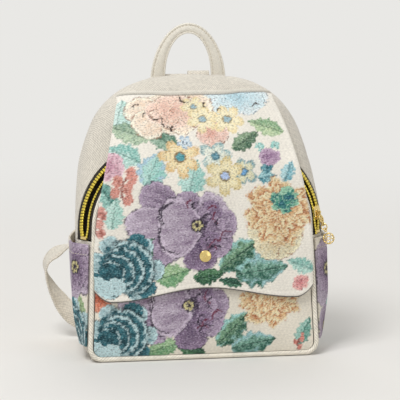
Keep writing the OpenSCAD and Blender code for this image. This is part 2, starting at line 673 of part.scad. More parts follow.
// Smooth curve through the route's points
function spline(a, b, c, d, t) =
    0.5 * (2 * b + (c - a) * t + (2 * a - 5 * b + 4 * c - d) * t * t + (3 * b - a - 3 * c + d) * t * t * t);
function route_at(route, k, t) = let (n = len(route) - 1)
    spline(route[max(0, k - 1)], route[k], route[min(n, k + 1)], route[min(n, k + 2)], t);
function strap_rings(route, hand) =
    let (bends = [for (k = [0 : len(route) - 2], i = [0 : strap_subs - 1])
             route_at(route, k, i / strap_subs)],
         fine = concat(bends, [route[len(route) - 1]]), n = len(fine) - 1,
         seat = cloth_t + seam_gap + strap_t / 2,
         mids = [for (p = fine)
             [hand * mix(strap_top, back_half, p[0]), p[1] * strap_bow + seat, p[2] * back_h]],
         r = strap_w / 2, h = strap_t / 2, e = strap_edge_share * strap_t)
    [for (i = [0 : n])
        let (along = unit(mids[min(n, i + 1)] - mids[max(0, i - 1)]),
             side = unit(cross(along, [fine[i][3], fine[i][4], fine[i][5]])), up = cross(side, along))
        [for (p = [[-r, -e], [-r, e], [-r + strap_t, h], [r - strap_t, h],
                   [r, e], [r, -e], [r - strap_t, -h], [-r + strap_t, -h]])
            mids[i] + side * p[0] + up * p[1]]];
module strap_left() { color(canvas) back_frame() skin(strap_rings(left_route_shares, -1)); }
module strap_right() { color(canvas) back_frame() skin(strap_rings(right_route_shares, 1)); }

base_panel();
front_panel();
back_panel();
side_left();
side_right();
top_band();
piping_front();
zip_tape_front();
zip_tape_rear();
zip_teeth_front();
zip_teeth_rear();
zip_stops();
zip_slider();
zip_pull();
pull_ring();
charm();
flap();
snap_cap();
snap_socket();
snap_stud();
pocket_left();
pocket_right();
handle();
strap_left();
strap_right();
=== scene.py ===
# %% [markdown]
# # A small tapestry backpack
# A day bag of woven floral tapestry and cream canvas stands on its base. Its flap is snapped shut, and the zip
# that runs round the front under the flap is open. The packed CAD model is the fixed frame: it gives every
# piece its place, and this lesson dresses it with cloth, thread and metal.

# %% Load the frame
import bpy
import math
import numpy as np
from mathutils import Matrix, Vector


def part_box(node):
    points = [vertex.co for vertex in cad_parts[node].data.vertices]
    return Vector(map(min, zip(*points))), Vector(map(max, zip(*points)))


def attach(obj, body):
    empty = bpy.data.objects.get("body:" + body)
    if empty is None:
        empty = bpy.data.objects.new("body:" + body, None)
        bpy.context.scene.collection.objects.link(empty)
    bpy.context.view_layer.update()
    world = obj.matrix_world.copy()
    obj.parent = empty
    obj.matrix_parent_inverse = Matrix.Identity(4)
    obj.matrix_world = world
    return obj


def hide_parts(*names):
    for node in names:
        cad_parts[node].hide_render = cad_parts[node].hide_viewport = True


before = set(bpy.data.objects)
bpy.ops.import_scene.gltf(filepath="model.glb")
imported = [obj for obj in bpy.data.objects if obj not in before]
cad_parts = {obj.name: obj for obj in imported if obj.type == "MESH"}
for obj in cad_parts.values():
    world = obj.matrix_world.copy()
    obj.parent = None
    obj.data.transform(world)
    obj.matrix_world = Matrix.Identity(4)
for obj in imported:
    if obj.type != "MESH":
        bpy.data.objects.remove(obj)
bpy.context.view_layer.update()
MM = 0.001

# %% [markdown]
# ## Camera first
# The photograph looks at the bag from a little to its left and a little above, from far away, so that upright
# edges stay nearly parallel. A long lens a few metres off gives the same view. The frame is 400 pixels wide and
# covers about 424 mm at the bag.

# %% Camera
azimuth, elevation, distance, covered = math.radians(-9), math.radians(10), 2.8, 0.424
aim = Vector((0.0043, 0.0, 0.159))
back = Vector((math.sin(azimuth) * math.cos(elevation), -math.cos(azimuth) * math.cos(elevation), math.sin(elevation)))
bpy.ops.object.select_all(action="DESELECT")
bpy.ops.object.camera_add(location=aim + distance * back, rotation=back.to_track_quat("Z", "Y").to_euler())
camera = bpy.context.object
camera.data.lens = camera.data.sensor_width * distance / covered
bpy.context.scene.camera = camera
print("lens", round(camera.data.lens), "mm")

# %% [markdown]
# ## Colours and nodes
# Colours are written as sRGB hex codes, as a colour picker shows them, and turned into the linear values that
# Blender works with. One helper adds every node, so that a material reads as a list of steps.

# %% Colours and nodes
def linear(code):
    """An sRGB hex colour as linear red, green, blue and alpha."""
    parts = [int(code[i:i + 2], 16) / 255 for i in (1, 3, 5)]
    return [c / 12.92 if c <= 0.04045 else ((c + 0.055) / 1.055) ** 2.4 for c in parts] + [1.0]


def put(material, kind, inputs=None, **settings):
    """Adds one node, sets its settings, and fills its inputs with values or links."""
    made = material.node_tree.nodes.new(kind)
    for name, value in settings.items():
        setattr(made, name, value)
    for name, value in (inputs or {}).items():
        if isinstance(value, bpy.types.NodeSocket):
            material.node_tree.links.new(value, made.inputs[name])
        else:
            made.inputs[name].default_value = value
    return made


def new_material(name):
    """An empty node material, and its output node."""
    made = bpy.data.materials.new(name)
    made.use_nodes = True
    made.node_tree.nodes.clear()
    return made, put(made, "ShaderNodeOutputMaterial")


def looked_at(owner):
    """1 for the rays that come from the camera, straight, mirrored or through glass; 0 for those that light things."""
    path = put(owner, "ShaderNodeLightPath").outputs
    seen = put(owner, "ShaderNodeMath", {0: path["Is Camera Ray"], 1: path["Is Glossy Ray"]},
               operation="ADD").outputs[0]
    return put(owner, "ShaderNodeMath", {0: seen, 1: path["Is Transmission Ray"]}, operation="ADD",
               use_clamp=True).outputs[0]


print("middle grey is", round(linear("#808080")[0], 3), "in linear light")

# %% [markdown]
# ## Floor and studio light
# A plain pale floor, and three wide soft lamps: one high on the left, so that the flap shades the panel below it as
# it does in the photograph, a weaker one on the right to open the shadows, and one from above and behind to lift
# the rims. The world adds an even grey.

# %% Floor
BACKDROP = "#E9E8E5"
bpy.ops.object.select_all(action="DESELECT")
bpy.ops.mesh.primitive_plane_add(size=12, location=(0, 0, -0.0002))
floor = bpy.context.object
floor.name = "studio_floor"
bpy.ops.object.transform_apply()
paper, paper_out = new_material("studio_paper")
near = put(paper, "ShaderNodeBsdfPrincipled", {"Base Color": linear("#E4E2DE"), "Roughness": 0.9}).outputs[0]
# Far from the object the paper runs out into an even pale backdrop, which lights nothing.
far = put(paper, "ShaderNodeEmission", {"Color": linear(BACKDROP), "Strength": 1.0}).outputs[0]
spot = put(paper, "ShaderNodeTexCoord").outputs["Object"]
reach = put(paper, "ShaderNodeVectorMath", {0: spot}, operation="LENGTH").outputs["Value"]
away = put(paper, "ShaderNodeMapRange", {"Value": reach, "From Min": 0.35, "From Max": 1.3},
           interpolation_type="SMOOTHSTEP").outputs[0]
shown = put(paper, "ShaderNodeMath", {0: looked_at(paper), 1: away}, operation="MULTIPLY", use_clamp=True).outputs[0]
paper_shader = put(paper, "ShaderNodeMixShader", {0: shown, 1: near, 2: far})
paper.node_tree.links.new(paper_shader.outputs[0], paper_out.inputs[0])
floor.data.materials.append(paper)
print("floor", [round(v) for v in floor.dimensions[:2]], "m")

# %% Lamps
for name, place, size, watts in (("key", (-0.9, -1.05, 2.2), 1.0, 38), ("fill", (1.7, -1.5, 0.9), 1.6, 6.5),
                                 ("rim", (0.3, 1.5, 1.6), 1.4, 12)):
    bpy.ops.object.light_add(type="AREA", location=place)
    lamp = bpy.context.object
    lamp.name = name + "_lamp"
    lamp.rotation_euler = (Vector(place) - aim).to_track_quat("Z", "Y").to_euler()
    lamp.data.size = size
    lamp.data.energy = watts
    print(lamp.name, watts, "W")

# %% World
world = bpy.context.scene.world or bpy.data.worlds.new("studio")
bpy.context.scene.world = world
world.use_nodes = True
world.node_tree.nodes["Background"].inputs[0].default_value = linear("#F2F1EF")
world.node_tree.nodes["Background"].inputs[1].default_value = 0.45
# The camera and the metal see the same pale backdrop above the floor.
even = world.node_tree.nodes["Background"].outputs[0]
pale = put(world, "ShaderNodeBackground", {"Color": linear(BACKDROP), "Strength": 1.0}).outputs[0]
sky = put(world, "ShaderNodeMixShader", {0: looked_at(world), 1: even, 2: pale})
world.node_tree.links.new(sky.outputs[0], world.node_tree.nodes["World Output"].inputs[0])
bpy.context.scene.view_settings.view_transform = "Standard"
print("world", world.name, len(world.node_tree.nodes), "nodes")

# %% [markdown]
# ## The bag's shape in numbers
# A cloth bag is a few seams with cloth stretched between them. The functions below give the points of those seams
# and surfaces in millimetres, in the frame of the CAD model: the leaning front, the zip that runs round it, the
# gusset from the zip to the back, the sides and the flap. Every grid of cloth is laid on them.

# %% Sizes, in millimetres
# Front: half its width at the base and at the shoulder, height of its straight legs, and the radii of its corners.
front_half, front_leg_half, leg_h, corner_r, foot_r = 120, 114, 142, 76, 12
# How many degrees the front leans, how far it swells, half the piping's thickness, and the base.
lean, front_crown, pipe_r, base_depth, base_t = 4.5, 7, 2.6, 114, 3
# Half the width at the shoulder line and at the back, the back's lean in degrees, and the air in a seam.
body_half, back_half, back_lean, seam_gap = 128, 120, 1.5, 0.3
# Zip: its tapes, its teeth, the open slit between the rows, the tilt of its strip and its run below the corner.
tape_w, tooth_w, tooth_h, tooth_pitch, slit_w = 5.4, 2.8, 2.4, 3, 5.2
strip_tilt, zip_leg_run = 52, 14
# Flap: half its width below and what it loses above, its lower edge, its thickness, its air, and where it is sewn.
flap_half_low, flap_taper, flap_low, flap_mid_rise, flap_corner_rise = 115.5, 34.5, 63, 13, 12
flap_t, flap_stand, flap_seam_share, flap_end_share = 2.4, 4.2, 0.32, 0.55
# Pockets: from which height to which, how far the mouth stands open, and the cloth.
pocket_foot, pocket_top, mouth_open, pocket_t = 16.4, 123, 4.6, 2
print("base", 2 * front_half, "x", base_depth, "mm")

# %% Small geometry helpers, with angles in degrees
def cosd(a):
    return np.cos(np.radians(a))


def sind(a):
    return np.sin(np.radians(a))


def mix(a, b, t):
    return a + (b - a) * t


def at(x, y, z):
    return np.stack(np.broadcast_arrays(x, y, z), axis=-1).astype(float)


def unit(v):
    return v / np.linalg.norm(v, axis=-1, keepdims=True)


def run_length(path):
    """How far each point of a path lies along it."""
    return np.concatenate([[0], np.cumsum(np.linalg.norm(np.diff(path, axis=0), axis=1))])


# %% Sizes that follow from them
leg_tilt = np.degrees(np.arctan((front_half - front_leg_half) / leg_h))
turn_x, turn_v = front_leg_half - corner_r * cosd(leg_tilt), leg_h - corner_r * sind(leg_tilt)
front_top, edge_inset = turn_v + corner_r, pipe_r + seam_gap
front_row = edge_inset + tape_w
slit = front_row + tooth_w
rear_row = slit + slit_w
rear_tape = rear_row + tooth_w
band_start, slit_mid = rear_tape + tape_w + 0.9, slit + slit_w / 2
zip_foot_z = (leg_h - zip_leg_run) * cosd(lean)
body_h, back_h = front_top * cosd(lean) + 64, front_top * cosd(lean) + 66
base_half, mid_share, strip_share, swell_height = front_half - 2, 0.42, 0.24, 0.6 * zip_foot_z
side_inset = edge_inset + 2 * seam_gap
print("front top", round(front_top, 1), "back top", round(back_h, 1), "mm")

# %% [markdown]
# The front is a leaning plane, and all its seams are given in it: how far across, how far up the cloth and how far
# back into the bag. The zip lies round the front on a strip that is tilted back from that plane.

# %% Front and zip
def front_point(x, v, w):
    """A point of the leaning front: across, up the cloth, and back into the bag."""
    return at(x, -base_depth / 2 + v * sind(lean) + w * cosd(lean), v * cosd(lean) - w * sind(lean))


def back_y(z):
    return base_depth / 2 - z * np.tan(np.radians(back_lean))


def zip_point(q, across, out):
    """Along the zip, q runs from 0 at the right foot to 3 at the top and 6 at the left foot."""
    u = across * cosd(strip_tilt) + out * sind(strip_tilt)
    w = across * sind(strip_tilt) - out * cosd(strip_tilt)
    side, q = np.where(q > 3, -1, 1), np.where(q > 3, 6 - q, q)
    r, s, f = corner_r + u, (1 - q) * zip_leg_run, mix(leg_tilt, 90, np.clip(q - 1, 0, 1))
    x = np.where(q <= 1, turn_x + r * cosd(leg_tilt) + s * sind(leg_tilt),
                 np.where(q <= 2, turn_x + r * cosd(f), turn_x * (3 - q)))
    v = np.where(q <= 1, turn_v + r * sind(leg_tilt) - s * cosd(leg_tilt), turn_v + r * sind(f))
    return front_point(side * x, v, w)


print("zip from", zip_point(0.0, slit_mid, 0.0).round(1), "over", zip_point(3.0, slit_mid, 0.0).round(1))

# %% [markdown]
# From the zip to the back the gusset follows a smooth curve through three lines: the zip's rear edge, a shoulder
# line where the bag is widest, and the back seam. The sides below the zip do the same, and draw in to the base.

# %% Gusset and sides
def arch(q, half, top):
    """The squared round of the shoulder line and of the back seam."""
    f = np.interp(np.where(q > 3, 6 - q, q), [0, 1, 2, 3], [0, 3, 77, 90])
    return (np.where(q > 3, -1, 1) * half * np.abs(cosd(f)) ** 0.68,
            zip_foot_z + (top - zip_foot_z) * sind(f) ** (5 / 7))


def through(a, b, c, d):
    """A smooth curve from front to back through three points."""
    m = mid_share
    return (a * ((d - m) * (d - 1) / m) + b * (d * (1 - d) / (m * (1 - m))) + c * (d * (d - m) / (1 - m)))


mid_y = mix(front_point(0, leg_h - zip_leg_run, band_start * sind(strip_tilt))[1], back_y(zip_foot_z), mid_share)


def band_point(q, d):
    (mx, mz), (bx, bz) = arch(q, body_half, body_h), arch(q, back_half, back_h)
    return through(zip_point(q, band_start, 0.0), at(mx, mid_y, mz), at(bx, back_y(bz) - seam_gap, bz),
                   np.asarray(d, float)[..., None])


def corner_cut(h):
    return np.where(h >= foot_r, 0, foot_r - np.sqrt(np.maximum(0, foot_r ** 2 - (foot_r - h) ** 2)))


def seam_half(v):
    leg = front_half - v * np.tan(np.radians(leg_tilt)) - corner_cut(np.maximum(0, v - edge_inset))
    return np.where(v <= leg_h, leg, turn_x + np.sqrt(np.maximum(0, corner_r ** 2 - (v - turn_v) ** 2)))


def swell(z):
    return 1 - (1 - np.minimum(z, swell_height) / swell_height) ** 2


def side_point(z, d, out):
    """The right side below the zip, from the front seam at d = 0 to the back seam at d = 1."""
    v, e = z / cosd(lean), (d - strip_share) / (1 - strip_share)
    front = seam_half(v) + side_inset * cosd(strip_tilt)
    strip = front + (band_start - side_inset) * cosd(strip_tilt) * swell(z)
    rear = mix(base_half, back_half, swell(z)) - corner_cut(np.maximum(0, z - base_t))
    a, b = (front_point(0, v, k * sind(strip_tilt))[..., 1] for k in (side_inset, band_start))
    near = d < strip_share
    x = np.where(near, mix(front, strip, d / strip_share),
                 through(strip, mix(base_half, body_half, swell(z)), rear, e))
    y = np.where(near, mix(a, b, d / strip_share), mix(b, back_y(z) - seam_gap, e))
    turn = (90 - strip_tilt) * swell(z) * np.maximum(0, 1 - d / (2 * strip_share))
    return at(x + out * cosd(turn), y - out * sind(turn), z)


print("widest at", side_point(zip_foot_z, mid_share, 0.0).round(1))

# %% [markdown]
# The front is padded and swells forward. The flap lies over that swell with a few millimetres of air, then leaves
# the front at its shoulder and runs in one even curve up to the seam on the gusset.

# %% Padded front and flap
def front_swell(x, v, top):
    """How far the padded front stands forward; with top it keeps its full swell above the middle."""
    s = np.minimum(1, np.abs(x) / seam_half(np.minimum(v, leg_h) if top else v))
    t = (2 * v - front_top) / front_top
    return front_crown * (1 - s * s) * (1 - (np.minimum(0, t) if top else t) ** 4)


flap_join_v, flap_low_v, flap_low_share = leg_h + 36, flap_low + 17, 0.52
# Shares of the half width where the lower edge starts to round its corner, and where the seam turns down.
corner_share, seam_turn = 0.84, 0.556
flap_top_z = band_point(np.array(3.0), flap_seam_share)[2]


def flap_edge(s):
    a = np.abs(s)
    return flap_low + np.where(a <= corner_share, flap_mid_rise * (1 + cosd(180 * a / corner_share)) / 2,
                               flap_corner_rise * ((a - corner_share) / (1 - corner_share)) ** 2)


def flap_low_point(s, v):
    half = flap_half_low - flap_taper * np.maximum(0, (v - flap_low_v) / (flap_top_z - flap_low_v)) ** 1.5
    return front_point(s * half, v, -front_swell(s * half, v, True) - flap_stand)


def flap_seam(s, behind=0.0):
    """Where the flap is sewn to the gusset, or a share of the gusset's depth behind that."""
    a = np.abs(s)
    q = np.where(a < seam_turn, 3 - a / seam_turn, mix(2, 1.75, (a - seam_turn) / (1 - seam_turn)))
    return band_point(np.where(s < 0, 6 - q, q), mix(flap_seam_share, flap_end_share, a ** 3) + behind)


def flap_face(angle, out):
    return at(0 * angle, -out * cosd(angle), out * sind(angle))


def flap_point(s, t, out):
    """The flap from its lower edge at t = 0 to its seam at t = 1, with s from -1 to 1 across. Its upper part is a
    curve with four handles: it leaves the front in the front's own direction and comes down on the seam."""
    seam_lean, leave, land = 55.0, 44, 26
    low = flap_low_point(s, mix(flap_edge(s), flap_join_v, np.minimum(t / flap_low_share, 1)))
    h = np.clip((t - flap_low_share) / (1 - flap_low_share), 0, 1)
    a = flap_low_point(s, flap_join_v + 0 * s)
    e = flap_seam(s) + flap_face(seam_lean, seam_gap)
    drop = mix(42, 20, s * s)
    b = a + leave * unit(a - flap_low_point(s, flap_join_v - 1 + 0 * s))
    c = e + land * at(0 * s, -cosd(drop), -sind(drop))
    k, r = h[..., None], 1 - h[..., None]
    high = a * r ** 3 + b * 3 * r * r * k + c * 3 * r * k * k + e * k ** 3
    return np.where((t <= flap_low_share)[..., None], low, high) + flap_face(mix(lean, seam_lean, h), out)


print("flap seam at", flap_seam(np.array([0.0, 1.0])).round(1).tolist())

# %% [markdown]
# ## Working on one piece at a time
# Blender's operators act on what is selected. These helpers select one piece only, work on its whole mesh, apply a
# modifier as soon as it is set, and shade it. Ripple is the unevenness that keeps cloth from looking pressed: a few
# sine waves in different directions, the same at every run.

# %% Selecting, editing and smoothing
def deselect():
    bpy.ops.object.select_all(action="DESELECT")


def pick(piece):
    """Selects one piece only, and makes it the active one."""
    deselect()
    bpy.context.view_layer.objects.active = piece
    piece.select_set(True)


def edit_all(*steps):
    """Runs steps on the whole mesh of the active piece, in edit mode. A step is an operator and its settings."""
    bpy.ops.object.mode_set(mode="EDIT")
    bpy.ops.mesh.select_all(action="SELECT")
    for operator, settings in steps:
        operator(**settings)
    bpy.ops.object.mode_set(mode="OBJECT")


def finish_modifier(piece, kind, **settings):
    """Adds a modifier, sets it and applies it."""
    pick(piece)
    made = piece.modifiers.new(kind.lower(), kind)
    for name, value in settings.items():
        setattr(made, name, value)
    bpy.ops.object.modifier_apply(modifier=made.name)


def smooth(piece, angle=50):
    """Shades a piece smoothly, except over edges that turn by more than the angle."""
    pick(piece)
    bpy.ops.object.shade_smooth_by_angle(angle=math.radians(angle))


def ripple(x, y, size, seed=0):
    """A soft uneven field from -1 to 1, with waves of about that size in millimetres."""
    total = 0
    for k in range(5):
        a, p = 2.4 * k + 0.7 * seed, 1.9 * k * k + 1.3 * seed
        total = total + np.sin((x * np.cos(a) + y * np.sin(a)) * 2 * np.pi / (size * (0.7 + 0.17 * k)) + p)
    return total / 3.2


print("ripple over 30 mm:", [round(float(ripple(x, 0, 60)), 2) for x in (0, 10, 20, 30)])

# %% [markdown]
# ## Cutting and laying cloth
# A piece of cloth starts flat. Here a flat grid is added, and each of its points is moved to the place on the bag
# where that bit of cloth is sewn. The cut itself is kept as the UV map, in metres, so that threads run with the
# cloth. Solidify then gives the cloth its thickness on the inner side.

# %% Laying cloth
def lay_cloth(name, cols, rows, place, thickness, weave=None, tube=False):
    """Cuts a grid of cloth. place(s, t) gives the points on the bag and the cut, both in millimetres."""
    deselect()
    bpy.ops.mesh.primitive_grid_add(x_subdivisions=cols, y_subdivisions=rows, size=1, location=(0.5, 0.5, 0))
    piece = bpy.context.object
    piece.name = name
    bpy.ops.object.transform_apply()
    mesh = piece.data
    flat = np.empty(len(mesh.vertices) * 3)
    mesh.vertices.foreach_get("co", flat)
    flat = flat.reshape(-1, 3)
    points, cut = place(flat[:, 0], flat[:, 1])
    mesh.vertices.foreach_set("co", (points * MM).ravel())
    corner = np.empty(len(mesh.loops), int)
    mesh.loops.foreach_get("vertex_index", corner)
    mesh.uv_layers[0].data.foreach_set("uv", (cut[corner] * MM).ravel())
    mesh.update()
    piece["area"] = sum(face.area for face in mesh.polygons)
    if weave:
        weave(cut).weave_into(piece)
    if tube:
        # A tube's two long edges meet: they are merged, and the faces are turned outwards.
        edit_all((bpy.ops.mesh.remove_doubles, {"threshold": 0.02 * MM}),
                 (bpy.ops.mesh.normals_make_consistent, {"inside": False}))
    if thickness:
        finish_modifier(piece, "SOLIDIFY", thickness=thickness * MM, offset=-1)
    smooth(piece)
    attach(piece, "bag")
    return piece


def wear(piece, material, slot, *nodes):
    """Gives a piece its material, and hides the CAD nodes that it stands for. Its slot is not used."""
    piece.data.materials.clear()
    piece.data.materials.append(material)
    if nodes:
        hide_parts(*nodes)
    print(piece.name, len(piece.data.polygons), "faces")
    return piece


print("CAD nodes to dress:", ", ".join(sorted(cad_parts)))

# %% [markdown]
# ## Tapestry cloth
# The bag's front is jacquard tapestry: a firm cotton cloth whose coloured weft is woven into flowers. Seen close,
# the picture breaks up into short threads, so outlines are a little ragged and every field of colour is mottled.
# The flowers are a common garden mix of my own: blooms, roses, daisies, leaves and sprigs, each drawn from a few
# petals and gradients. They are stored as colours on the points of the cloth.

# %% A loom that weaves flowers
def rgb(code):
    return np.array(linear(code)[:3])


def step(low, high, value):
    t = np.clip((value - low) / (high - low), 0, 1)
    return t * t * (3 - 2 * t)


class Loom:
    """Colours for points of a cut of cloth. Every motif lies over the ones before it; lengths in millimetres."""

    def __init__(self, cut, ground):
        x, y = cut[:, 0], cut[:, 1]
        # The weft steps from thread to thread, so outlines are ragged.
        self.x = x + 0.8 * ripple(x, y, 4.5, 1) + 0.4 * ripple(x, y, 2.4, 11)
        self.y = y + 0.8 * ripple(x, y, 4.5, 2) + 0.4 * ripple(x, y, 2.4, 12)
        self.cut, self.fine, self.soft = cut, ripple(x, y, 3.1, 8), ripple(x, y, 11, 3)
        self.colour = np.tile(rgb(ground), (len(cut), 1))
        self.cover = np.full(len(cut), 0.2)

    def dab(self, mask, tint):
        """Lays a colour over the cloth where the mask is 1, and notes that a motif covers it."""
        self.colour += (tint - self.colour) * mask[:, None]
        self.cover = np.maximum(self.cover, mask)

    def local(self, x, y, turn):
        c, s = cosd(turn), sind(turn)
        return (self.x - x) * c + (self.y - y) * s, (self.y - y) * c - (self.x - x) * s

    def strokes(self, spots, tint):
        """Short dark curls that a weaver adds to set petals off: place, length and turn of each."""
        for x, y, length, turn in spots:
            a, b = self.local(x, y, turn)
            t = np.clip(a / length + 0.5, 0, 1)
            self.dab(step(1.3, 0.6, np.abs(b - 0.3 * length * np.sin(np.pi * t))) * (np.abs(a) < length / 2), rgb(tint))

    def weave_into(self, piece):
        """Stores the colours on the piece's points, mottled as threads are; alpha says where a motif is."""
        fleck = 1 + 0.07 * self.fine + 0.03 * ripple(self.cut[:, 0], self.cut[:, 1], 40, 9)
        data = np.concatenate([np.clip(self.colour * fleck[:, None], 0, 1), self.cover[:, None]], axis=1)
        layer = piece.data.color_attributes.new("flowers", "FLOAT_COLOR", "POINT")
        layer.data.foreach_set("color", data.astype(np.float32).ravel())


print("loom: weaves", [name for name in vars(Loom) if name[0] != "_"])

# %% [markdown]
# Most flowers are built from one petal: deep at its base, pale at its rim, streaked along its length and edged with a
# broken dark line. A peony sets petals in rings, a bloom sets them one by one, and a rose closes in shells round its
# heart.

# %% Petals, peonies, blooms and roses
PETAL_LINE = "#43364A"


class PetalLoom(Loom):
    def petal(self, x, y, length, width, turn, rim, deep, line=PETAL_LINE):
        """One petal from its base at x, y: deep at the base, pale at the rim, streaked, with a broken dark edge."""
        a, b = self.local(x, y, turn)
        a, b = a / length, b / (width / 2)
        e = ((a - 0.54) / 0.5) ** 2 + (b / (0.6 + 0.45 * np.clip(a, 0, 1))) ** 2 + 0.09 * self.soft + 0.05 * self.fine
        streak = ripple(b * 14, a * 4 + x, 4, 4)
        shade = np.clip(0.15 + 0.75 * a + 0.32 * streak + 0.14 * self.soft, 0, 1)
        tint = mix(rgb(deep), rgb(rim), shade[:, None])
        tint = mix(tint, np.minimum(1, rgb(rim) * 1.28), (0.75 * step(0.62, 0.9, e))[:, None])
        self.dab(step(1.04, 0.95, e), tint)
        broken = step(-0.25, 0.3, ripple(self.x, self.y, 13, 7 + 0.1 * x))
        self.dab((0.25 + 0.65 * broken) * step(0.9, 0.98, e) * step(1.14, 1.03, e), rgb(line))

    def stamens(self, x, y, r, tint):
        """A dark heart with a ring of pale dots."""
        d = np.hypot(self.x - x, self.y - y) + 0.7 * self.fine
        self.dab(step(1.25 * r, 0.9 * r, d), rgb("#2B2230"))
        for k in range(7):
            f = 51 * k + 13 * x
            spot = np.hypot(self.x - x - 0.6 * r * cosd(f), self.y - y - 0.6 * r * sind(f))
            self.dab(step(0.28 * r, 0.16 * r, spot), rgb(tint))

    def peony(self, x, y, r, turn, rims, deeps, squash=1.0, petals=6, heart=None, line=PETAL_LINE):
        """Rings of broad petals, each ring smaller and deeper than the one before."""
        self.dab(step(1.0, 0.8, np.hypot(self.x - x, (self.y - y) / squash) / (0.4 * r)), rgb(deeps[-1]))
        for i, (rim, deep) in enumerate(zip(rims, deeps)):
            size = r * (1 - 0.6 * i / max(1, len(rims) - 1))
            count = max(3, petals - i)
            for k in range(count):
                f = turn + 360 * k / count + 37 * i + 16 * np.sin(3 * k + i)
                reach = size * np.hypot(cosd(f), squash * sind(f)) * (0.86 + 0.14 * np.sin(5 * k + 2 * i))
                self.petal(x + 0.1 * size * cosd(f), y + 0.1 * squash * size * sind(f), reach, size * 6.4 / count, f,
                           rim, deep, line)
        if heart:
            self.stamens(x, y, 0.2 * r, heart)

    def bloom(self, x, y):
        """A half-open mauve bloom round its heart at x, y: loose petals behind, curled ones to one side of the heart,
        and one broad petal before it. Dark and wine-red curls lie in the folds."""
        pale, mid, low = ("#C2B4C5", "#86718B"), ("#AA98AF", "#5F4B66"), ("#8F7A96", "#453350")
        wine_curls = ((16, 17, 11, 20), (21, 8, 14, 105), (30, -11, 14, 35), (19, -19, 12, 25), (15, -25, 12, -5),
                      (-8, 23, 9, 70))
        dark_curls = ((-31, 13, 28, 63), (-30, 13, 24, 66), (-29, -15, 34, 122), (7, -1, 20, 92), (9, 2, 14, 80),
                      (13, -16, 12, 80), (11, 9, 9, 10), (-3, 21, 8, 80), (-2, 21, 7, 95), (24, 2, 14, 80),
                      (18, -26, 16, 20))
        self.dab(step(1.0, 0.85, np.hypot((self.x - x - 4) / 27, (self.y - y + 2) / 30)), rgb("#3E3146"))
        for dx, dy, length, width, turn, tints in (
                (-16, 18, 44, 38, 155, mid), (-20, 8, 52, 40, 188, pale), (-18, -2, 44, 34, 232, mid),
                (-8, 8, 27, 34, 100, mid), (4, 6, 30, 38, 46, pale), (10, -8, 29, 36, -40, mid),
                (1, -15, 31, 40, -86, low), (14, 0, 27, 34, 2, mid), (5, 6, 23, 27, 42, low),
                (9, -1, 20, 24, -4, mid), (5, -8, 22, 27, -46, low), (2, 5, 14, 17, 55, mid),
                (2, -5, 14, 17, -45, low), (7, -1, 46, 74, 181, pale)):
            self.petal(x + dx, y + dy, length, width, turn, *tints)
        for curls, tint in ((wine_curls, "#6A2A42"), (dark_curls, "#332839")):
            self.strokes([(x + dx, y + dy, length, turn) for dx, dy, length, turn in curls], tint)
        self.stamens(x, y, 6.5, "#D6CB92")

    def rose(self, x, y, r, turn, pale, body, dark, shells=4):
        """A half-open rose: ragged outer petals, then shells one inside the other that lean towards its heart, each
        with a pale lip and a dark fold under it, and broad pale petals before the heart."""
        for k in range(9):
            f = turn + 40 * k + 14 * np.sin(4 * k)
            rim, deep = (pale, body) if k % 3 else (body, dark)
            self.petal(x + 0.3 * r * cosd(f), y + 0.3 * r * sind(f), 0.7 * r, 0.66 * r, f, rim, deep, dark)
        for i in range(shells):
            share = i / shells
            size, lean = r * mix(0.74, 0.22, share), 0.6 * r * share
            a, b = self.local(x + lean * cosd(turn), y + lean * sind(turn), turn + 180)
            e = (a / size) ** 2 + (b / (1.05 * size)) ** 2 + 0.12 * self.soft + 0.08 * self.fine
            far = step(-0.5, 0.2, a / size + 0.2 * self.soft)
            shade = np.clip(0.75 + 0.5 * self.soft + 0.3 * self.fine - 0.5 * share, 0, 1)
            lip = step(0.72, 0.86, e) * far * step(-0.9, -0.3, self.soft)
            self.dab(step(1.05, 0.95, e), mix(mix(rgb(dark), rgb(body), shade[:, None]), rgb(pale), lip[:, None]))
            fold = step(0.95, 1.02, e) * step(1.3, 1.08, e) * far * step(-0.7, 0.0, self.soft)
            self.dab(0.85 * fold, rgb(dark) * 0.6)
        x, y = x + 0.6 * r * cosd(turn), y + 0.6 * r * sind(turn)
        for f, reach in ((turn + 20, 0.42), (turn + 110, 0.52), (turn + 66, 0.5)):
            self.petal(x + 0.1 * r * cosd(f), y + 0.1 * r * sind(f), reach * r, 0.56 * r, f, pale, pale, dark)


print("petal flowers:", [name for name in vars(PetalLoom) if name[0] != "_"])

# %% [markdown]
# The other motifs are drawn whole, from how far a point lies from the middle and in which direction.

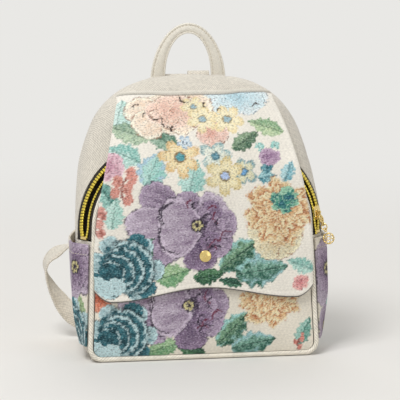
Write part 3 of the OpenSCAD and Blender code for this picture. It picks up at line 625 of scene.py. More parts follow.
# %% Ragged heads, leaves, daisies and sprigs
class FlowerLoom(PetalLoom):
    def mum(self, x, y, r, turn, pale, mid, rust, squash=1.0):
        """A ragged many-petalled head: rows of short strokes that run outwards, rust at their roots."""
        a, b = self.local(x, y, turn)
        b = b / squash
        d, f = np.hypot(a, b) / r, np.arctan2(b, a)
        edge = 0.86 + 0.08 * np.sin(7 * f + 1) + 0.06 * np.sin(13 * f) + 0.05 * self.fine
        row = (3.4 * d + 0.34 * np.sin(9 * f + 4 * d) + 0.3 * np.sin(15 * f + 2) + 0.22 * self.soft) % 1
        tint = mix(rgb(rust), rgb(mid), step(0.05, 0.45, row)[:, None])
        tint = mix(tint, rgb(pale), step(0.35, 0.85, row + 0.15 * self.fine)[:, None])
        self.dab(step(1.04, 0.94, d / edge), tint)
        self.dab(0.55 * step(0.16, 0.06, row) * step(0.1, 0.5, self.soft) * (d < 0.9 * edge), rgb(rust) * 0.45)

    def leaf(self, x, y, length, width, turn, light, dark, other=None):
        """A toothed leaf with its middle at x, y: one half light and one dark, with a dark midrib and pale veins."""
        a, b = self.local(x, y, turn)
        t = np.clip(a / length + 0.5, 0, 1)
        half = width / 2 * np.sin(np.pi * t ** 0.8) * (1 + 0.13 * np.sin(t * 30)) + 1e-6
        e = np.abs(b) / half + 0.08 * self.fine
        mask = step(1.08, 0.92, e) * (np.abs(a) < length / 2)
        veins = 0.5 + 0.5 * np.cos((a - 0.9 * np.abs(b)) * 2 * np.pi / (length / 6))
        shade = np.clip(step(-0.5, 0.4, b / half) * 0.6 + 0.4 * veins + 0.3 * self.fine + 0.25 * self.soft, 0, 1)
        tint = mix(rgb(dark), rgb(light), shade[:, None])
        if other:
            tint = mix(tint, rgb(other), (step(0.3, 0.8, e) * step(-0.5, 0.2, self.soft + 0.4 * b / half))[:, None])
        self.dab(mask, tint)
        self.dab(mask * step(1.0, 0.4, np.abs(b)) * 0.8, rgb(dark) * 0.5)
        self.dab(mask * step(0.86, 0.98, e) * step(-0.2, 0.3, self.soft) * 0.6, rgb(dark) * 0.55)

    def daisy(self, x, y, r, turn, tint, edge, centre, petals=6):
        """A flat open flower: round-ended petals with a tinted edge, and a dark ring round its centre."""
        a, b = self.local(x, y, turn)
        d, f = np.hypot(a, b) + 1e-6, np.arctan2(b, a)
        rim = r * (0.42 + 0.58 * np.abs(np.cos(petals / 2 * f)) ** 0.55) * (1 + 0.08 * np.sin(3 * f))
        e = d / rim + 0.07 * self.fine
        shade = np.clip(step(0.6, 0.95, e) * 0.85 + 0.3 * step(0.5, 0.2, d / r) + 0.2 * self.fine, 0, 1)
        self.dab(step(1.06, 0.94, e), mix(rgb(tint), rgb(edge), shade[:, None]))
        self.dab(step(0.31 * r, 0.26 * r, d + 0.6 * self.fine), rgb(edge) * 0.4)
        self.dab(step(0.23 * r, 0.18 * r, d), rgb(centre))

    def sprig(self, x, y, length, turn, stem, bud, buds=5):
        """A bent stem with small pointed buds on both sides."""
        a, b = self.local(x, y, turn)
        t = np.clip(a / length, 0, 1)
        self.dab(step(1.3, 0.6, np.abs(b - 0.16 * length * np.sin(np.pi * t))) * (a > 0) * (a < length), rgb(stem))
        for k in range(buds):
            u = (k + 1) / buds
            side = (1 if k % 2 else -1) * (0.17 if k < buds - 1 else 0) * length
            d = np.hypot((a - u * length) / 1.4, b - 0.16 * length * np.sin(np.pi * u) - side) / (0.14 * length)
            d = d + 0.15 * self.fine
            root = 0.75 * step(0.1, 0.5, self.soft) * step(0.9, 0.4, d)
            self.dab(step(1.1, 0.9, d), mix(rgb(bud), rgb(stem), root[:, None]))


def each(motif, *rows):
    """Draws one kind of motif once for each row of values."""
    for row in rows:
        motif(*row)


print("other motifs:", [name for name in vars(FlowerLoom) if name[0] != "_"])

# %% [markdown]
# ## Materials
# Tapestry is matt cotton with a ribbed weave. Canvas is a plain cream twill: a diagonal rib, flecks of unbleached
# thread, and a soft sheen at grazing light. The piping is the same cloth cut on the bias, so its rib winds round the
# cord. The threads are finer than a pixel of the picture, so each weave is drawn about twice as coarse as the real
# one, enough to show as grain.

# %% Threads
def weave_relief(made, laid, rib_mm, cross):
    """How high the threads stand: a rib of that width, broken up by the other threads as far as cross says, and
    uneven as spun thread is."""
    wave = {"Vector": laid, "Distortion": 1.2, "Detail": 1.0, "Detail Scale": 2.0}
    # A band wave repeats every pi / 10 units at scale 1.
    warp, weft = (put(made, "ShaderNodeTexWave", {**wave, "Scale": math.pi / 10 / width},
                      bands_direction=way).outputs["Fac"] for width, way in ((rib_mm, "X"), (rib_mm * 1.3, "Y")))
    slub = put(made, "ShaderNodeTexNoise", {"Vector": laid, "Scale": 0.55 / rib_mm, "Detail": 4.0,
                                            "Roughness": 0.7}).outputs["Fac"]
    broken = put(made, "ShaderNodeMapRange", {"Value": weft, "To Min": 1 - cross, "To Max": 1.0}).outputs[0]
    rib = put(made, "ShaderNodeMath", {0: warp, 1: broken}, operation="MULTIPLY").outputs[0]
    return put(made, "ShaderNodeMath", {0: rib, 1: 0.45, 2: slub}, operation="MULTIPLY_ADD").outputs[0]


def flower_yarns(made, laid, layer):
    """The colours on the points. In a motif, single pale and dark threads come up between the coloured ones."""
    motif = put(made, "ShaderNodeVertexColor", layer_name=layer).outputs
    comb = put(made, "ShaderNodeMapping", {"Vector": laid, "Scale": (1 / 2.2, 1 / 1.4, 1)}).outputs[0]
    deep = put(made, "ShaderNodeVectorMath", {0: motif["Color"], 1: (0.4, 0.38, 0.4)}, operation="MULTIPLY").outputs[0]
    pale = put(made, "ShaderNodeGamma", {"Color": motif["Color"], "Gamma": 0.45}).outputs[0]
    colour = motif["Color"]
    for seed, low, high, most, yarn in ((0, 0.48, 0.68, 0.62, pale), (40, 0.5, 0.7, 0.72, deep)):
        place = put(made, "ShaderNodeVectorMath", {0: comb, 1: (seed, seed, 0)}, operation="ADD").outputs[0]
        grain = put(made, "ShaderNodeTexNoise", {"Vector": place, "Scale": 1.0, "Detail": 1.0}).outputs["Fac"]
        up = put(made, "ShaderNodeMapRange", {"Value": grain, "From Min": low, "From Max": high,
                                              "To Min": 0.0, "To Max": most}).outputs[0]
        seen = put(made, "ShaderNodeMath", {0: up, 1: motif["Alpha"]}, operation="MULTIPLY").outputs[0]
        colour = put(made, "ShaderNodeMix", {0: seen, 6: colour, 7: yarn}, data_type="RGBA").outputs[2]
    return colour


print("a wave of 1.8 mm ribs has scale", round(math.pi / 10 / 1.8, 3))

# %% Woven materials
def woven(name, rib_mm, turn, colour, layer=None, fleck=0.10, height=0.5, sheen=0.2, rough=0.86, cross=1.0):
    """Cloth with a rib of that width, turned on the cut. layer names the colours on the points, if it has them.
    cross is how far the other threads break the rib up: little in a twill."""
    made, out = new_material(name)
    cut = put(made, "ShaderNodeUVMap").outputs["UV"]
    laid = put(made, "ShaderNodeMapping", {"Vector": cut, "Rotation": (0, 0, math.radians(turn)),
                                           "Scale": (1000, 1000, 1000)}).outputs[0]
    height_of = weave_relief(made, laid, rib_mm, cross)
    cloud = put(made, "ShaderNodeTexNoise", {"Vector": laid, "Scale": 0.03, "Detail": 2.0}).outputs["Fac"]
    tone = put(made, "ShaderNodeMapRange", {"Value": height_of, "From Min": 0.25, "From Max": 0.95,
                                            "To Min": 1 - fleck, "To Max": 1 + fleck}).outputs[0]
    age = put(made, "ShaderNodeMapRange", {"Value": cloud, "From Min": 0.3, "From Max": 0.7,
                                           "To Min": 0.95, "To Max": 1.03}).outputs[0]
    shade = put(made, "ShaderNodeMath", {0: tone, 1: age}, operation="MULTIPLY").outputs[0]
    plain = flower_yarns(made, laid, layer) if layer else linear(colour)[:3]
    tint = put(made, "ShaderNodeVectorMath", {0: plain, 1: shade}, operation="MULTIPLY").outputs[0]
    relief = put(made, "ShaderNodeBump", {"Height": height_of, "Strength": height, "Distance": 0.0006}).outputs[0]
    shader = put(made, "ShaderNodeBsdfPrincipled", {"Base Color": tint, "Roughness": rough, "Normal": relief,
                                                    "Specular IOR Level": 0.25, "Sheen Weight": sheen,
                                                    "Sheen Roughness": 0.5})
    made.node_tree.links.new(shader.outputs[0], out.inputs[0])
    return made


tapestry = woven("jacquard_tapestry", 1.3, 0, "#EFEADF", layer="flowers", fleck=0.12, height=0.55)
canvas = woven("cotton_canvas_twill", 1.8, 62, "#D3CDC1", fleck=0.34, height=0.7, cross=0.45)
pale_canvas = woven("cotton_canvas_pale", 1.3, 40, "#E4DFD3", fleck=0.16, height=0.5, cross=0.6)
bias_canvas = woven("cotton_canvas_bias", 2.4, -45, "#E0DACC", fleck=0.36, height=0.9, cross=0.2)
lining = woven("cotton_lining", 1.0, 0, "#2B2622", fleck=0.15, height=0.3)
zip_tape = woven("polyester_zip_tape", 1.0, 0, "#29241F", fleck=0.25, height=0.6, sheen=0.1, rough=0.7)
thread = woven("polyester_thread", 0.5, 30, "#D9CFBD", fleck=0.15, height=0.3, sheen=0.3, rough=0.6)
# A darker copy of the thread, for the seam rib's stitches: painted shade for the shadow line above the rib.
painted_shade_thread = woven("polyester_thread_painted_shade", 0.5, 30, "#9A9080", fleck=0.15, height=0.3, sheen=0.2, rough=0.7)
print("woven:", [m.name for m in bpy.data.materials if m.name.startswith(("jacquard", "cotton", "polyester"))])

# %% [markdown]
# The zip, the snap and the charm are zinc castings plated in a pale gold. Plating is bright with fine rub marks,
# and its tint is a little uneven; the teeth are yellower and less polished than the cast pieces.

# %% Plated metal
def plated(name, colour, worn, rough):
    """Plated metal that varies between two tints, with that roughness on average."""
    made, out = new_material(name)
    spot = put(made, "ShaderNodeTexCoord").outputs["Object"]
    # Rub marks about 1.5 mm long and 0.3 mm wide.
    marks = put(made, "ShaderNodeMapping", {"Vector": spot, "Scale": (600, 600, 3000)}).outputs[0]
    rubbed = put(made, "ShaderNodeTexNoise", {"Vector": marks, "Scale": 1.0, "Detail": 3.0}).outputs["Fac"]
    blotch = put(made, "ShaderNodeTexNoise", {"Vector": spot, "Scale": 350.0, "Detail": 2.0}).outputs["Fac"]
    tint = put(made, "ShaderNodeMix", {0: blotch, 6: linear(worn), 7: linear(colour)}, data_type="RGBA").outputs[2]
    gloss = put(made, "ShaderNodeMapRange", {"Value": rubbed, "From Min": 0.3, "From Max": 0.7,
                                             "To Min": rough - 0.07, "To Max": rough + 0.1}).outputs[0]
    relief = put(made, "ShaderNodeBump", {"Height": rubbed, "Strength": 0.12, "Distance": 0.0002}).outputs[0]
    shader = put(made, "ShaderNodeBsdfPrincipled", {"Base Color": tint, "Metallic": 1.0, "Roughness": gloss,
                                                    "Normal": relief})
    made.node_tree.links.new(shader.outputs[0], out.inputs[0])
    return made


gold = plated("gold_plated_zinc", "#EFDCA0", "#D6B666", 0.17)
gold_teeth = plated("gold_plated_teeth", "#EEDB6A", "#D2BC48", 0.42)
print("materials:", len(bpy.data.materials))

# %% [markdown]
# ## Front panel
# The front panel is a padded sheet that swells inside its piping. Only its lower edge shows under the flap, but it
# runs on behind it. A cloth simulation could blow it up; here its swell is a smooth formula, because it is lined,
# sewn in all round and stands stiff.

# %% Front panel
def panel_half(v):
    """Half the panel's width at a height up the cloth."""
    low, r = 2 * edge_inset, foot_r - edge_inset
    h = np.minimum(v - low, r)
    foot = r - np.sqrt(np.maximum(0, r * r - (r - h) ** 2))
    leg = front_half - v * np.tan(np.radians(leg_tilt)) - edge_inset - foot
    return np.where(v > leg_h, turn_x + np.sqrt(np.maximum(0, (corner_r - edge_inset) ** 2 - (v - turn_v) ** 2)), leg)


def front_place(s, t):
    rim_w = 9
    # Rows lie closer at the round corners, so that the outline stays round.
    v = mix(2 * edge_inset, turn_v + corner_r - edge_inset, t ** 1.25)
    x = (2 * s - 1) * panel_half(v)
    from_side, from_foot = (1 - np.abs(2 * s - 1)) * panel_half(v), v - 2 * edge_inset + 0.5
    edge = np.minimum(1, from_side / rim_w) * np.minimum(1, from_foot / rim_w)
    puff = 1.1 * np.sin(np.pi / 2 * edge) + 0.5 * ripple(x, v, 70, 3) * edge
    return front_point(x, v, -front_swell(x, v, False) - puff), np.stack([x, v], axis=1)


print("panel half width at its foot and its shoulder:", panel_half(np.array([12.0, leg_h])).round(1))

# %% [markdown]
# A pattern is laid out motif by motif, from the back to the front: leaves and sprigs first, then the flowers over
# them. Each row of values says where on the cut the motif lies, in millimetres, how large it is, how far it is turned
# and which colours it has. The large flowers share a few sets of colours.

# %% Colours and flowers of the front panel
MAUVE = (["#BCAEBF", "#AE9DB2", "#9E8BA2", "#8A7590"], ["#857388", "#735F78", "#5F4A64", "#4A3650"])
PEACH = (["#F4E6D2", "#F3D9C8", "#F0CFBC"], ["#EFD0B4", "#EAC0AA", "#E4B5A2"])
SKY = (["#E2EEEF", "#D6E7EB", "#C6DFE6"], ["#CFE3E8", "#BAD6DE", "#A9CBD6"])
ROSE = ("#B9D5D8", "#35717D", "#12353E")
APRICOT = ("#ECDDB4", "#DDB685", "#BB7A50")


def front_flowers(cut):
    loom = FlowerLoom(cut, "#E9E2D3")
    each(loom.leaf, (-64, 30, 34, 6, 30, "#5E8F6C", "#2F5F44"), (-42, 14, 40, 20, 15, "#A9C89A", "#5F9668"),
         (-14, 9, 34, 18, 160, "#4F7F58", "#1F4A36"), (30, 32, 50, 28, 45, "#7CA683", "#20503F", "#9AD0CB"),
         (52, 15, 50, 26, 12, "#7FB09C", "#2A5E4E", "#9CC9CC"), (106, 26, 34, 16, 65, "#A9D3C6", "#4F8F80"))
    loom.sprig(100, 6, 16, 75, "#8E4A40", "#D98A7C", 4)
    loom.peony(-110, 68, 15, 10, ["#E8A184", "#DC7C5C"], ["#C9654A", "#AE4A36"], 1.0, 5, None, "#6A2A22")
    loom.bloom(-17, 58)
    loom.rose(-86, 29, 35, 200, *ROSE)
    loom.mum(70, 62, 38, 20, *APRICOT, 0.85)
    return loom


front_panel = lay_cloth("front_panel_cloth", 200, 150, front_place, 2.6, front_flowers)
wear(front_panel, tapestry, "tapestry", "front_panel")

# %% [markdown]
# ## Flap
# The flap is one sheet with a turned edge: it hangs from its seam on the gusset, stands a few millimetres off the
# panel, and its lower edge waves a little, dipping at the corners. Its sides lie out over the piping.

# %% Shape of the flap
flap_cols, flap_rows, flap_side_run, flap_up_run = 190, 226, 112, 225


def flap_place(s, t):
    side = 2 * s - 1
    roll_h, roll_w, hem_at, spread_most, lift_most = 1.1, 2.4, 6.5, 4.6, 1.6
    base = flap_point(side, t, flap_t)
    # A hanging edge waves a little; the seam holds it still.
    loose = (1 - t) ** 1.5
    wave = loose * (0.9 * np.sin(side * 7.5 + 0.6) * np.abs(side) + 0.7 * ripple(base[:, 0], base[:, 2], 85, 5))
    # The turned edge is rolled to the inner side.
    run = np.minimum((1 - np.abs(side)) * flap_side_run, t * flap_up_run)
    roll = roll_h * (1 - np.minimum(1, run / roll_w)) ** 2 * step(0.96, 0.86, t)
    hem = 0.35 * np.exp(-((run - hem_at) / 1.3) ** 2)
    # Between its corners and its seam each side of the flap lies out over the piping, which lifts it.
    over = np.sin(np.pi * np.clip((t - 0.06) / 0.86, 0, 1)) ** 0.7
    spread = spread_most * side * np.abs(side) ** 3 * over
    lift = lift_most * step(0.88, 0.99, np.abs(side)) * over
    points = base + flap_face(lean + 0 * t, wave - roll - hem + lift) + at(spread, 0, 0)
    # The cut is measured up the cloth from its edge, column by column.
    steps = np.linalg.norm(np.diff(base.reshape(flap_rows + 1, flap_cols + 1, 3), axis=0), axis=2)
    length = np.concatenate([0 * steps[:1], np.cumsum(steps, axis=0)]).ravel()
    return points, np.stack([base[:, 0], flap_edge(side) + length], axis=1)


print("flap grid", flap_cols, "x", flap_rows)

# %% [markdown]
# The flap carries most of the picture: a pale spray of blooms and daisies at the top, and below it the mauve bloom in
# the middle, the teal rose on the left, the apricot head on the right and dark leaves along the edge.

# %% Flowers of the flap
def flap_flowers(cut):
    loom = FlowerLoom(cut, "#EFEADF")
    each(loom.leaf, (-82, 268, 42, 30, 78, "#D9EEE7", "#B9DDD3"), (-74, 244, 46, 25, 155, "#BCD0B2", "#7C9C86"),
         (-42, 234, 42, 20, 150, "#9DBBA4", "#4F7A66"), (68, 247, 38, 20, 160, "#C9DCB0", "#7FA77E"),
         (46, 231, 36, 18, 35, "#93AD8C", "#3A6049"), (-81, 219, 38, 25, 150, "#C6E4DB", "#7DB8AD"),
         (-53, 202, 40, 30, 65, "#BFE3DA", "#90C9BF", "#A9C9DA"), (-12, 192, 40, 28, 75, "#C3E5DD", "#92C9BF"),
         (-98, 176, 44, 17, 115, "#A5D5CA", "#357A70"), (-92, 156, 34, 19, 80, "#C9E8DE", "#A2D2C5"),
         (87, 197, 25, 13, 70, "#C1E4E7", "#6FB0BE"), (66, 191, 20, 13, 10, "#A9D8DC", "#3F8494"),
         (66, 202, 15, 12, 95, "#6FA9B4", "#2F6C7C"), (-34, 91, 38, 24, 15, "#A9C89A", "#5F9668"),
         (4, 89, 34, 18, 10, "#4F7F58", "#1F4A36"), (60, 93, 58, 34, 8, "#7FB09C", "#2A5E4E", "#9CC9CC"),
         (37, 111, 54, 32, 36, "#7CA683", "#20503F", "#9AD0CB"), (26, 82, 28, 10, 165, "#3F7056", "#1F4A3A"),
         (101, 97, 32, 16, 158, "#BFE2D6", "#7FB9AE"))
    loom.peony(-95, 206, 13, 60, ["#E2C0CA", "#D4A6B4"], ["#C48E9E", "#AE7690"], 1.3, 4, None, "#8A4E62")
    loom.sprig(-82, 166, 34, 78, "#8E4A40", "#D69284", 6)
    loom.sprig(-108, 132, 28, 82, "#8E4A40", "#DB9A8E", 6)
    loom.peony(44, 284, 36, 20, *SKY, 0.55, 7, None, "#5E7E8C")
    loom.peony(10, 240, 17, 80, ["#F3D6C8", "#EEC2B2"], ["#E0AE9C", "#D49A8A"], 0.9, 5, None, "#8A5A48")
    loom.peony(-28, 268, 45, 15, *PEACH, 0.62, 7, None, "#9A6A52")
    for row in ((-5, 273, 14, 10), (29, 256, 18, 50), (3, 257, 17, 20)):
        loom.daisy(*row, "#F7EDC8", "#EBD6A0", "#9DBBC4", 6)
    loom.strokes([(-65, 276, 8, 30), (-57, 264, 7, 60), (-46, 262, 15, 170), (-36, 253, 13, 120), (-29, 246, 8, 60),
                  (-14, 283, 12, 140), (8, 275, 8, 110), (22, 268, 6, 20), (62, 274, 8, 20)], "#3A2A22")
    each(loom.daisy, (-24, 214, 22, 20, "#F3E2B4", "#DDB67C", "#4F9AA4", 7),
         (-18, 230, 8, 50, "#DCE7EA", "#7FA2BE", "#E3EEF6", 5), (13, 214, 17, 0, "#E8ECDD", "#74A6AC", "#5D8FA0", 5),
         (42, 197, 15, 40, "#E8E3BE", "#4E8FA2", "#6FA8D8", 5), (22, 193, 21, 25, "#F0E6BE", "#D2BC80", "#AFC4E8", 6),
         (60, 224, 5, 0, "#A9D8D0", "#6FB8B0", "#CFEDE6", 4), (76, 226, 5, 30, "#A9D8D0", "#6FB8B0", "#CFEDE6", 4))
    loom.peony(68, 213, 11, 80, ["#BFA4BC", "#AC8CAA"], ["#957296", "#7E5A80"], 0.8, 5)
    loom.peony(76, 128, 30, -80, ["#E6DFC0", "#E4CFA6"], ["#D3BE92", "#C79C6C"], 0.8, 6, None, "#9A6A4A")
    loom.mum(77, 154, 38, 35, *APRICOT, 1.05)
    loom.rose(83, 166, 14, 60, "#93C6A8", "#43907A", "#1F5A6E", 3)
    loom.bloom(-8, 142)
    loom.leaf(-65, 123, 32, 7, 30, "#5E8F6C", "#2F5F44")
    loom.leaf(-58, 117, 14, 6, -45, "#5E8F6C", "#2F5F44")
    loom.rose(-81, 99, 37, 200, *ROSE)
    loom.peony(102, 79, 9, 20, ["#EBB3AC", "#E09A98"], ["#CE8084", "#BA6870"], 0.9, 6, None, "#9A4450")
    # Painted shade along the turned lower edge: a fine dark line that stands both for its dark edge and for the shadow
    # under it.
    up = np.repeat(np.linspace(0, flap_up_run, flap_rows + 1), flap_cols + 1)
    loom.dab(0.9 * step(1.9, 0.9, up), rgb("#2E2A28"))
    # Painted shade: the cloth is darkened where it dives into its seam, for the shade in that crease.
    loom.dab(0.75 * step(2.0, 0.8, flap_up_run - up), rgb("#4A4038"))
    return loom


flap = lay_cloth("flap_cloth", flap_cols, flap_rows, flap_place, 1.9, flap_flowers)
wear(flap, tapestry, "tapestry", "flap")
print("flap area", round(flap["area"], 4), "m2")

# %% [markdown]
# ## Gusset
# Behind the zip a wide canvas strip, the gusset, runs from one side over the top to the other. It is lightly
# padded, so it domes between its seams, and it sags and ripples a little where the bag is empty. The lower sides,
# the back and the base are the same canvas.

# %% Gusset
def core_out(points):
    """Directions out of the bag, away from a line through its middle."""
    core = at(np.clip(points[:, 0], -turn_x, turn_x), mid_y, np.minimum(points[:, 2], turn_v))
    return unit(points - core)


# The strip's length along its middle, and its depth, from one foot to the other: its cut is measured with them.
marks = np.linspace(0, 6, 601)
lines = [band_point(marks, d + 0 * marks) for d in np.linspace(0, 1, 9)]
strip_run = run_length(lines[4])
strip_deep = sum(np.linalg.norm(b - a, axis=1) for a, b in zip(lines, lines[1:]))


def gusset_place(s, t):
    q, deep, long = 6 * t, s * 95, t * 560
    points = band_point(q, s)
    cut = np.stack([(s - 0.5) * np.interp(q, marks, strip_deep), np.interp(q, marks, strip_run)], axis=1)
    held = np.sin(np.pi * np.clip(s, 0, 1)) ** 0.6 * np.minimum(1, np.minimum(t, 1 - t) / 0.03)
    sag = 0.8 * ripple(deep, long, 60, 2) + 0.45 * ripple(deep, long, 24, 5)
    return points + core_out(points) * (held * sag)[:, None], cut


gusset = lay_cloth("gusset_canvas", 56, 320, gusset_place, 2.6)
wear(gusset, canvas, "canvas", "top_band")

# %% [markdown]
# ## Lower sides
# Below the zip each side is a piece of canvas behind the pocket, from the base to the foot of the gusset. One
# function makes both: the left one is the right one mirrored, with ripples of its own.

# %% Lower sides
side_depth = 112


def side_place(hand):
    def place(s, t):
        d = s if hand > 0 else 1 - s
        z = mix(base_t + seam_gap, zip_foot_z - band_start * sind(lean), t ** 1.2)
        bulge = 0.6 * ripple(d * 110, z, 45, 3 + hand) * np.sin(np.pi * d) * np.sin(np.pi * t)
        points = side_point(z, d, bulge - 0.3 * np.sin(np.pi * t))
        return points * [hand, 1, 1], np.stack([s * side_depth, z], axis=1)
    return place


for hand, name in ((1, "side_right"), (-1, "side_left")):
    piece = lay_cloth(name + "_canvas", 60, 60, side_place(hand), 2.4)
    wear(piece, canvas, "canvas", name)

# %% [markdown]
# ## Back and base
# The back is a padded panel that leans forward a little. The photograph doesn't show it, so it is kept plain: a soft
# swell inside its seam, and two sewn channels. The base is a flat canvas board that the bag stands on.

# %% Back
def back_place(s, t):
    """The straight lower part takes the first share of the rows, and the arch the rest."""
    low, share, rim_w = base_t + seam_gap, 0.45, 12
    q = 3 * np.clip((t - share) / (1 - share), 0, 1)
    ax, az = arch(q, back_half, back_h)
    z_low = mix(low, zip_foot_z, np.clip(t / share, 0, 1) ** 1.3)
    leg = mix(base_half, back_half, swell(z_low)) - corner_cut(np.maximum(0, z_low - base_t))
    half, z = np.where(t > share, ax, leg), np.where(t > share, az, z_low)
    x = (1 - 2 * s) * half
    from_side, from_end = (1 - np.abs(1 - 2 * s)) * np.maximum(half, 1), np.minimum(z - low, back_h - z)
    rim = np.minimum(1, np.minimum(from_side, from_end) / rim_w)
    # Two sewn channels run up the padding, beside the spine.
    channel_x, channel_w, channel_top = 34, 2.0, 250
    puff = (1.6 * np.sin(np.pi / 2 * rim) + 0.5 * ripple(x, z, 60, 6) * rim
            - 1.0 * np.exp(-((np.abs(x) - channel_x) / channel_w) ** 2) * (z < channel_top))
    c, k = cosd(back_lean), sind(back_lean)
    y = 2.9 + np.maximum(-1.2, puff - 1.2)
    return at(x, base_depth / 2 + y * c - z * k, z * c + y * k), np.stack([x, z], axis=1)


back_panel = lay_cloth("back_canvas", 110, 150, back_place, 2.4)
wear(back_panel, canvas, "canvas", "back_panel")

# %% Base
def base_place(s, t):
    depth = base_depth / 2 - edge_inset
    y = mix(depth, -depth, t)
    x = (2 * s - 1) * (base_half - corner_cut(depth - np.abs(y)))
    return at(x, y, 0 * x), np.stack([x, y], axis=1)


base = lay_cloth("base_canvas", 60, 40, base_place, base_t)
wear(base, canvas, "canvas", "base_panel")

# %% [markdown]
# ## Piping
# A cotton cord covered with a strip of cream canvas is sewn into the front seam. The strip is cut on the bias, so
# its twill runs round the cord like the stripe of a rope.

# %% Piping
def piping_path(count):
    """Points of the cord's middle in the front plane, evenly spaced, with the outward angle at each."""
    foot = front_half - edge_inset * np.tan(np.radians(leg_tilt)) - foot_r
    turns = [(foot, edge_inset + foot_r, foot_r, -90, leg_tilt), (turn_x, turn_v, corner_r, leg_tilt, 90)]
    half = np.concatenate([np.stack([x + r * cosd(f), v + r * sind(f), f], axis=1)
                           for x, v, r, a, b in turns for f in [np.linspace(a, b, 40)]])
    loop = np.concatenate([half, half[::-1] * [-1, 1, -1] + [0, 0, 180], [half[0] + [0, 0, 360]]])
    run = run_length(loop[:, :2])
    spots = np.linspace(0, run[-1], count)
    return np.stack([np.interp(spots, run, loop[:, k]) for k in range(3)], axis=1), run[-1]


def piping_place(s, t):
    steps, twists = 2000, 90
    path, length = piping_path(steps + 1)
    spot = path[np.round(t * steps).astype(int)]
    a = 2 * np.pi * s
    r = (pipe_r - 0.1) * (1 + 0.02 * np.sin(t * 2 * np.pi * twists + 2 * a))
    u, w = r * np.cos(a), r * np.sin(a)
    cut = np.stack([s * 2 * np.pi * pipe_r, t * length], axis=1)
    return front_point(spot[:, 0] + u * cosd(spot[:, 2]), spot[:, 1] + u * sind(spot[:, 2]), w), cut


piping = lay_cloth("piping_cord", 14, 480, piping_place, 0, tube=True)
wear(piping, bias_canvas, "canvas_pale", "piping_front")

# %% [markdown]
# ## Side pockets
# Each side has a tapestry pocket, sewn on along three edges. Its mouth is a turned hem that stands open, and the
# cloth bellies out a little below it.

# %% Pockets
hem_w, pocket_w = 11, 118


def pocket_depth(u):
    """Where the pocket lies on the side, from the front seam at 0 to the back seam at 1."""
    return mix(0.015, 0.97, u)


def pocket_stand(u, t):
    """How far the pocket stands off the side: most in the middle of its mouth."""
    return 1.1 + mouth_open * np.sin(np.pi * u) ** 1.5 * t ** 1.2


def pocket_wave(u, z, hand):
    """The unevenness of the pocket's cloth, which ends at its side seams."""
    return 0.5 * ripple(pocket_depth(u) * side_depth, z, 40, 4 + hand) * np.sin(np.pi * u)


def pocket_place(hand):
    def place(s, t):
        u = s if hand > 0 else 1 - s
        z = mix(pocket_foot, pocket_top, t)
        below = pocket_top - z
        hem = -0.5 * np.exp(-((below - hem_w) / 1.2) ** 2) - 0.8 * np.maximum(0, 1 - below / 1.6) ** 2
        soft = pocket_wave(u, z, hand) * np.sin(np.pi * np.minimum(1, 0.2 + t))
        points = side_point(z, pocket_depth(u), pocket_stand(u, t) + pocket_t + hem + np.maximum(-0.6, soft))
        return points * [hand, 1, 1], np.stack([(s - 0.5) * pocket_w, z], axis=1)
    return place


print("pocket mouth stands", round(float(pocket_stand(0.5, 1.0)), 1), "mm off the side")

# %% Flowers of the pockets
def left_flowers(cut):
    loom = FlowerLoom(cut, "#E7E0D2")
    each(loom.leaf, (34, 74, 40, 20, 80, "#A9B97E", "#5F7F4C"), (-2, 62, 38, 18, 110, "#9DBBA4", "#4F7A66"),
         (48, 54, 34, 16, 100, "#BCCFA0", "#7F9F6C"))
    loom.peony(36, 98, 37, 20, *MAUVE, 0.95, 6, "#C9BE86")
    loom.mum(-28, 92, 26, 10, *APRICOT)
    loom.rose(32, 32, 33, 230, *ROSE)
    loom.peony(-32, 36, 24, 30, *PEACH, 0.9, 6, None, "#9A6A52")
    return loom


def right_flowers(cut):
    loom = FlowerLoom(cut, "#E7E0D2")
    each(loom.leaf, (-28, 56, 38, 18, 70, "#B0DED6", "#68AFA6"), (12, 60, 36, 18, 120, "#9DBBA4", "#4F7A66"))
    loom.peony(-34, 88, 38, 10, *MAUVE, 0.95, 6, "#C9BE86")
    loom.mum(28, 88, 26, 35, *APRICOT)
    loom.rose(26, 32, 29, 300, *ROSE)
    loom.peony(-36, 28, 27, 40, *MAUVE, 0.9, 6, "#C9BE86")
    return loom


for hand, name, flowers in ((1, "pocket_right", right_flowers), (-1, "pocket_left", left_flowers)):
    piece = lay_cloth(name + "_cloth", 96, 92, pocket_place(hand), pocket_t - 0.3, flowers)
    wear(piece, tapestry, "tapestry", name)
    print(name, "area", round(piece["area"], 4))

# %% [markdown]
# ## Zip
# Two black tapes are sewn along the front and the gusset, and a row of cast teeth is clamped on the edge of each.
# The rows stand apart round the top, because the bag is unzipped, and close towards both feet.

# %% Zip tapes
def closing(q):
    """How far each row is drawn in towards the other, near the feet."""
    e = np.clip(np.minimum(q, 6 - q), 0, 1)
    return (slit_w - 0.6) / 2 * (1 - e * e * (3 - 2 * e))


def tape_place(front):
    """One tape, from the front seam or from the gusset's to its edge under the teeth."""
    width, length = 6, 370

    def place(s, t):
        q = 6 * t
        near = edge_inset + 0 * q if front else rear_tape - (closing(q) - 0.3)
        far = edge_inset + tape_w + closing(q) - 0.3 if front else rear_tape + tape_w + 0 * q
        # The tape rises to its beaded edge under the teeth.
        edge = s if front else 1 - s
        points = zip_point(q, mix(near, far, s), 0.25 * step(0.8, 1.0, edge) - 0.25)
        return points, np.stack([s * width, t * length], axis=1)
    return place


for name, front in (("zip_tape_front", True), ("zip_tape_rear", False)):
    piece = lay_cloth(name + "_cloth", 8, 260, tape_place(front), 0.7)
    wear(piece, zip_tape, "zip_tape", name)

# %% [markdown]
# Through the open zip the dark lining shows. It is sewn in with the tapes and hangs slack between them, clear of the
# slider, so a strip of it closes the view into the bag.

